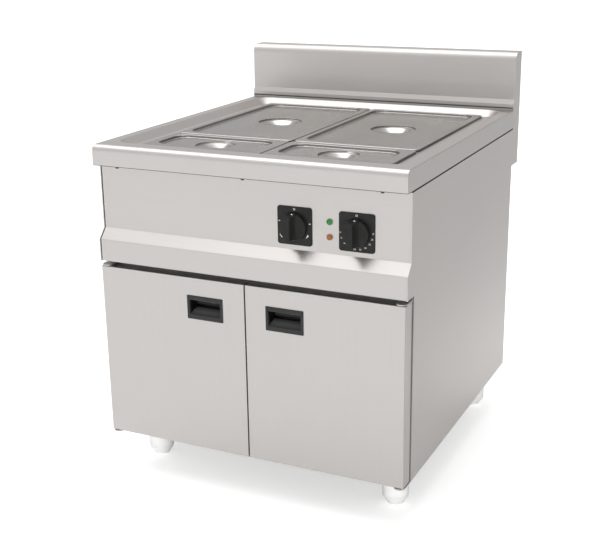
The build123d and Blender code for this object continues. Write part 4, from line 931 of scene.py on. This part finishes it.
def screw(head, height, shank, length):
    """Screw facing up, with the underside of its head at height 0."""
    radius = head / 2
    dome = [(radius * out, height * up) for out, up in DOME]
    shape = turned(dome + [(shank / 2, 0), (shank / 2, -length), (0, -length)], SCREW_SIDES)
    rim = [edge for edge in shape.edges if edge.is_boundary]
    top = bmesh.ops.contextual_create(shape, geom=rim)["faces"][0]
    half_step = Matrix.Rotation(pi / SCREW_SIDES, 3, "Z")
    bmesh.ops.rotate(shape, matrix=half_step, verts=shape.verts)
    for point in top.verts:
        if min(abs(point.co.x), abs(point.co.y)) > CROSS_ARM * radius:
            point.co.xy *= CROSS_WAIST
    floor_face = bmesh.ops.extrude_discrete_faces(shape, faces=[top])["faces"][0]
    bmesh.ops.translate(shape, vec=(0, 0, -CROSS_DEEP * height), verts=floor_face.verts)
    bmesh.ops.scale(shape, vec=(CROSS_TAPER, CROSS_TAPER, 1), verts=floor_face.verts)
    bmesh.ops.recalc_face_normals(shape, faces=shape.faces)
    return shape


low, high = (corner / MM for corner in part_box("panel_screws"))
depth = (low.y + high.y) / 2
columns = (low.x + APRON_HEAD / 2, 0, high.x - APRON_HEAD / 2)
row = [placed(screw(APRON_HEAD, APRON_HEAD_HIGH, APRON_SHANK, APRON_LONG),
              (x, depth, high.z - APRON_LONG), DOWNWARDS) for x in columns]
piece("apron_screws", row, dark_steel, "cabinet", "steel", "panel_screws")

low, high = (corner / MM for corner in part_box("back_screws"))
heights = (low.z + BACK_HEAD / 2, (low.z + high.z) / 2, high.z - BACK_HEAD / 2)
columns = (low.x + BACK_HEAD / 2, high.x - BACK_HEAD / 2)
rear = [placed(screw(BACK_HEAD, BACK_HEAD_HIGH, BACK_SHANK, BACK_LONG),
               (x, high.y - BACK_HEAD_HIGH, z), BACKWARDS) for x in columns for z in heights]
piece("rear_screws", rear, bracket_steel, "cabinet", "steel", "back_screws")

# %% [markdown]
# ## Legs and feet
# Each leg is a white moulded sleeve, and the foot screws up into it to level the cupboard. Both
# are round, so they are spun. The sleeve has a plug in the base and a shallow groove near its
# lower end. The foot has a tapered skirt, a pad on the floor and a stem inside the sleeve.

# %% Sleeves and feet
CORNERS = ("front_left", "front_right", "rear_left", "rear_right")
LEG_SIDES = 64
SLEEVE = [(0, 125), (22.7, 125), (23.5, 124.2), (23.5, 106), (31.8, 106), (32.4, 105.4),
          (32.4, 31.0), (31.9, 30.4), (31.9, 29.6), (32.4, 29.0), (32.4, 25.0), (31.5, 24),
          (14.05, 24), (14.05, 89), (0, 89)]
FOOT = [(0, 0), (19.0, 0), (20.1, 0.5), (20.5, 1.6), (20.5, 3.2), (21.0, 4.0), (30.8, 17.6),
        (31.6, 19.2), (31.9, 20.8), (31.9, 22.8), (31.6, 23.4), (31.0, 23.6), (14, 23.6),
        (14, 85), (13.4, 85.6), (0, 85.6)]
legs = []
for corner in CORNERS:
    spot = middle("foot_" + corner)
    under = (spot.x, spot.y, 0)
    legs.append(placed(turned(SLEEVE, LEG_SIDES), under))
    piece("levelling_foot_" + corner, [placed(turned(FOOT, LEG_SIDES), under)], white_plastic,
          "foot_" + corner, "white_plastic", "foot_" + corner)
piece("moulded_sleeves", legs, white_plastic, "cabinet", "white_plastic", "leg_sleeves")

# %% [markdown]
# ## Door pulls
# A recessed pull is one black moulding: a flat frame, a cup with a floor that rises towards the
# back, and a back wall that ends above a slot, so that fingers hook behind it. Its colour holds
# painted light and shade: the floor paler, the sides darker and the slot black. It leaves its
# mould in one piece, and here it is pressed from one block. Faces are shrunk and pushed in, the
# back edge of the floor is lifted, and the lower part of the back goes deeper.

# %% Recessed pulls
FRAME_WIDE, FRAME_HIGH, FRAME_THICK, FRAME_CORNER = 96.5, 59.0, 1.5, 1.5
CUP_WIDE, CUP_HIGH, CUP_DEEP = 85.0, 39.0, 37.8
OPENING_WIDE, OPENING_HIGH, OPENING_LIFT = 83.0, 37.1, 0.5
RAMP_RISE, WALL_END, SLOT_DEEP = 7.7, -1.8, 4.0
FIRST_INSET, PULL_SOFT = 1.0, 0.4
PULL_SHIFT = Vector((-2.0, 0.0, 1.0))  # from the middle of the CAD pull


def sunk(shape, face, wide, high, depth):
    """Face of the frame, shrunk to a smaller opening and moved along its axis by a depth."""
    bmesh.ops.inset_individual(shape, faces=[face], thickness=FIRST_INSET)
    shrink = (wide / (FRAME_WIDE - 2 * FIRST_INSET), high / (FRAME_HIGH - 2 * FIRST_INSET), 1)
    bmesh.ops.scale(shape, vec=shrink, verts=face.verts)
    bmesh.ops.translate(shape, vec=(0, OPENING_LIFT, 0), verts=face.verts)
    pushed = bmesh.ops.extrude_discrete_faces(shape, faces=[face])["faces"][0]
    bmesh.ops.translate(shape, vec=(0, 0, depth), verts=pushed.verts)
    return pushed


def pull():
    """Recessed pull facing up, with the door's face at height 0."""
    shape = slab(FRAME_WIDE, FRAME_HIGH, FRAME_THICK, FRAME_CORNER, 3)
    top = max(shape.faces, key=lambda face: face.calc_center_median().z)
    under = min(shape.faces, key=lambda face: face.calc_center_median().z)
    sunk(shape, under, CUP_WIDE, CUP_HIGH, -CUP_DEEP)
    back = sunk(shape, top, OPENING_WIDE, OPENING_HIGH, -FRAME_THICK - PULL_DEEP)
    lower = [point for point in back.verts if point.co.y < 0]
    bmesh.ops.translate(shape, vec=(0, RAMP_RISE, 0), verts=lower)
    halves = bmesh.ops.bisect_plane(shape, geom=[back, *back.edges, *back.verts],
                                    plane_co=(0, WALL_END, 0), plane_no=(0, 1, 0))["geom"]
    faces = [item for item in halves if isinstance(item, bmesh.types.BMFace)]
    slot = min(faces, key=lambda face: face.calc_center_median().y)
    slot = bmesh.ops.extrude_discrete_faces(shape, faces=[slot])["faces"][0]
    bmesh.ops.translate(shape, vec=(0, 0, -SLOT_DEEP), verts=slot.verts)
    bmesh.ops.recalc_face_normals(shape, faces=shape.faces)
    return softened(shape, PULL_SOFT)


for door in ("door_left", "door_right"):
    spot = middle(door + "_pull") + PULL_SHIFT
    piece(door.replace("door", "recessed_pull"),
          [placed(pull(), (spot.x, DOOR_FACE, spot.z), FORWARDS)], pull_plastic, door,
          "black_plastic", door + "_pull")

# %% [markdown]
# ## Lids
# A lid is drawn from one sheet, and the thin grip bar in its finger dish is welded in. The bar
# lies deep in the bowl, below the line of sight over the dish's rim. The CAD mesh has the sheet
# and the bar as two loose islands, so a walk over linked edges tells them apart in a copy. The
# bar is shortened to the bowl's width and lowered. Points of the bowl's wall move in with their
# depth, which makes it flatter, and those of the ring round it move out, which makes it steeper.

# %% Lids with a low grip bar
PANEL_DROP = 6.5  # pressed panel, below the lid's top
PANEL_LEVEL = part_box("lid_rear_left")[1].z / MM - PANEL_DROP
DISH_RADIUS = {"rear": 59.0, "front": 49.0}
BAR_DROP = {"rear": 9.4, "front": 7.2}
BAR_SHARE = {"rear": 0.70, "front": 0.80}  # of its length
BOWL_SLACK = {"rear": 0.25, "front": 0.10}
RING_DEPTH, BOWL_DEPTH, RING_STEEPEN = 4.0, 13.0, 0.06
BOWL_EDGE, RING_BLEND, RING_END = 0.80, 0.1, 1.05  # shares of the dish radius


def island(point):
    """All points joined to one by edges."""
    found, fresh = {point}, [point]
    while fresh:
        here = fresh.pop()
        ends = {edge.other_vert(here) for edge in here.link_edges}
        fresh += ends - found
        found |= ends
    return found


def lid(name):
    """Copy of a lid in millimetres: bar low in the bowl, bowl wall flatter, ring wall steeper."""
    shape = bmesh.new()
    shape.from_mesh(nodes[name].data)
    bmesh.ops.scale(shape, vec=(1 / MM, 1 / MM, 1 / MM), verts=shape.verts)
    bmesh.ops.remove_doubles(shape, verts=shape.verts, dist=2 * WELD)
    spot = middle(name)
    islands, left = [], set(shape.verts)
    while left:
        islands.append(island(next(iter(left))))
        left -= islands[-1]
    row = name.split("_")[1]
    for point in min(islands, key=len):
        point.co.x = spot.x + (point.co.x - spot.x) * BAR_SHARE[row]
        point.co.z -= BAR_DROP[row]
    for point in max(islands, key=len):
        out = (point.co - spot).to_2d()
        ring, depth = out.length / DISH_RADIUS[row], PANEL_LEVEL - point.co.z
        if ring < BOWL_EDGE and depth > RING_DEPTH:
            out *= 1 - BOWL_SLACK[row] * (depth - RING_DEPTH) / BOWL_DEPTH
        elif ring < RING_END and depth > 0:
            share = min(1, max(0, (ring - BOWL_EDGE) / RING_BLEND))
            out *= 1 + RING_STEEPEN * share * min(1, depth / RING_DEPTH)
        point.co.xy = spot.xy + out
    return shape


for name in sorted(name for name in nodes if name.startswith("lid_")):
    piece("pressed_" + name, [lid(name)], lid_steel, name, "pan_steel", name)

# %% [markdown]
# ## Drain valve lever
# The drain is opened by a quarter turn of a steel lever with a red dipped grip, held on the stem
# by a nut. The lever and grip are plates whose ends are fully round, and the nut is a circle of
# six sides. The CAD has them as one solid, and two finishes need two pieces.

# %% Lever and grip
ARM_LONG, ARM_WIDE, ARM_THICK, ARM_SOFT = 113.0, 18.0, 3.0, 0.5
DIP_LONG, DIP_WIDE, DIP_THICK, DIP_SOFT = 52.0, 22.0, 7.0, 2.6
END_STEPS, END_SLACK = 8, 0.01  # the slack keeps two round corners from meeting
STEM_OUT = 32.0  # from the valve's middle to the lever
STEM_PROFILE = [(0, -14), (4.1, -14), (4.5, -13.5), (4.5, 3.6), (0, 3.6)]
STEM_SIDES, NUT_FLATS, NUT_HIGH, NUT_SOFT = 32, 13.0, 4.0, 0.5

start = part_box("drain_lever")[0].x / MM
hub = Vector((start + ARM_WIDE / 2, middle("drain_valve").y - STEM_OUT, middle("drain_lever").z))
arm_middle = hub + Vector(((ARM_LONG - ARM_WIDE) / 2, 0, 0))
dip_middle = hub + Vector((ARM_LONG - ARM_WIDE + (DIP_WIDE - DIP_LONG) / 2,
                           (DIP_THICK - ARM_THICK) / 2, 0))


def round_ended(long, wide, thick):
    """Plate with fully round ends, facing up."""
    return slab(long, wide, thick, wide / 2 - END_SLACK, END_STEPS)


def six_sided(flats, height):
    """Nut facing up, with its corners rounded."""
    shape = bmesh.new()
    bmesh.ops.create_circle(shape, segments=6, radius=flats / 2 / cos(pi / 6), cap_ends=True)
    raised(shape, height)
    return softened(shape, NUT_SOFT)


arm = softened(round_ended(ARM_LONG, ARM_WIDE, ARM_THICK), ARM_SOFT)
nut = six_sided(NUT_FLATS, NUT_HIGH)
lever = [placed(arm, arm_middle, FORWARDS), placed(turned(STEM_PROFILE, STEM_SIDES), hub, FORWARDS),
         placed(nut, (hub.x, hub.y - ARM_THICK, hub.z), FORWARDS)]
piece("valve_lever_arm", lever, bracket_steel, "valve_lever", "lever_red", "drain_lever")
dip = softened(round_ended(DIP_LONG, DIP_WIDE, DIP_THICK), DIP_SOFT, 4)
piece("valve_lever_grip", [placed(dip, dip_middle, FORWARDS)], red_plastic, "valve_lever",
      "lever_red")
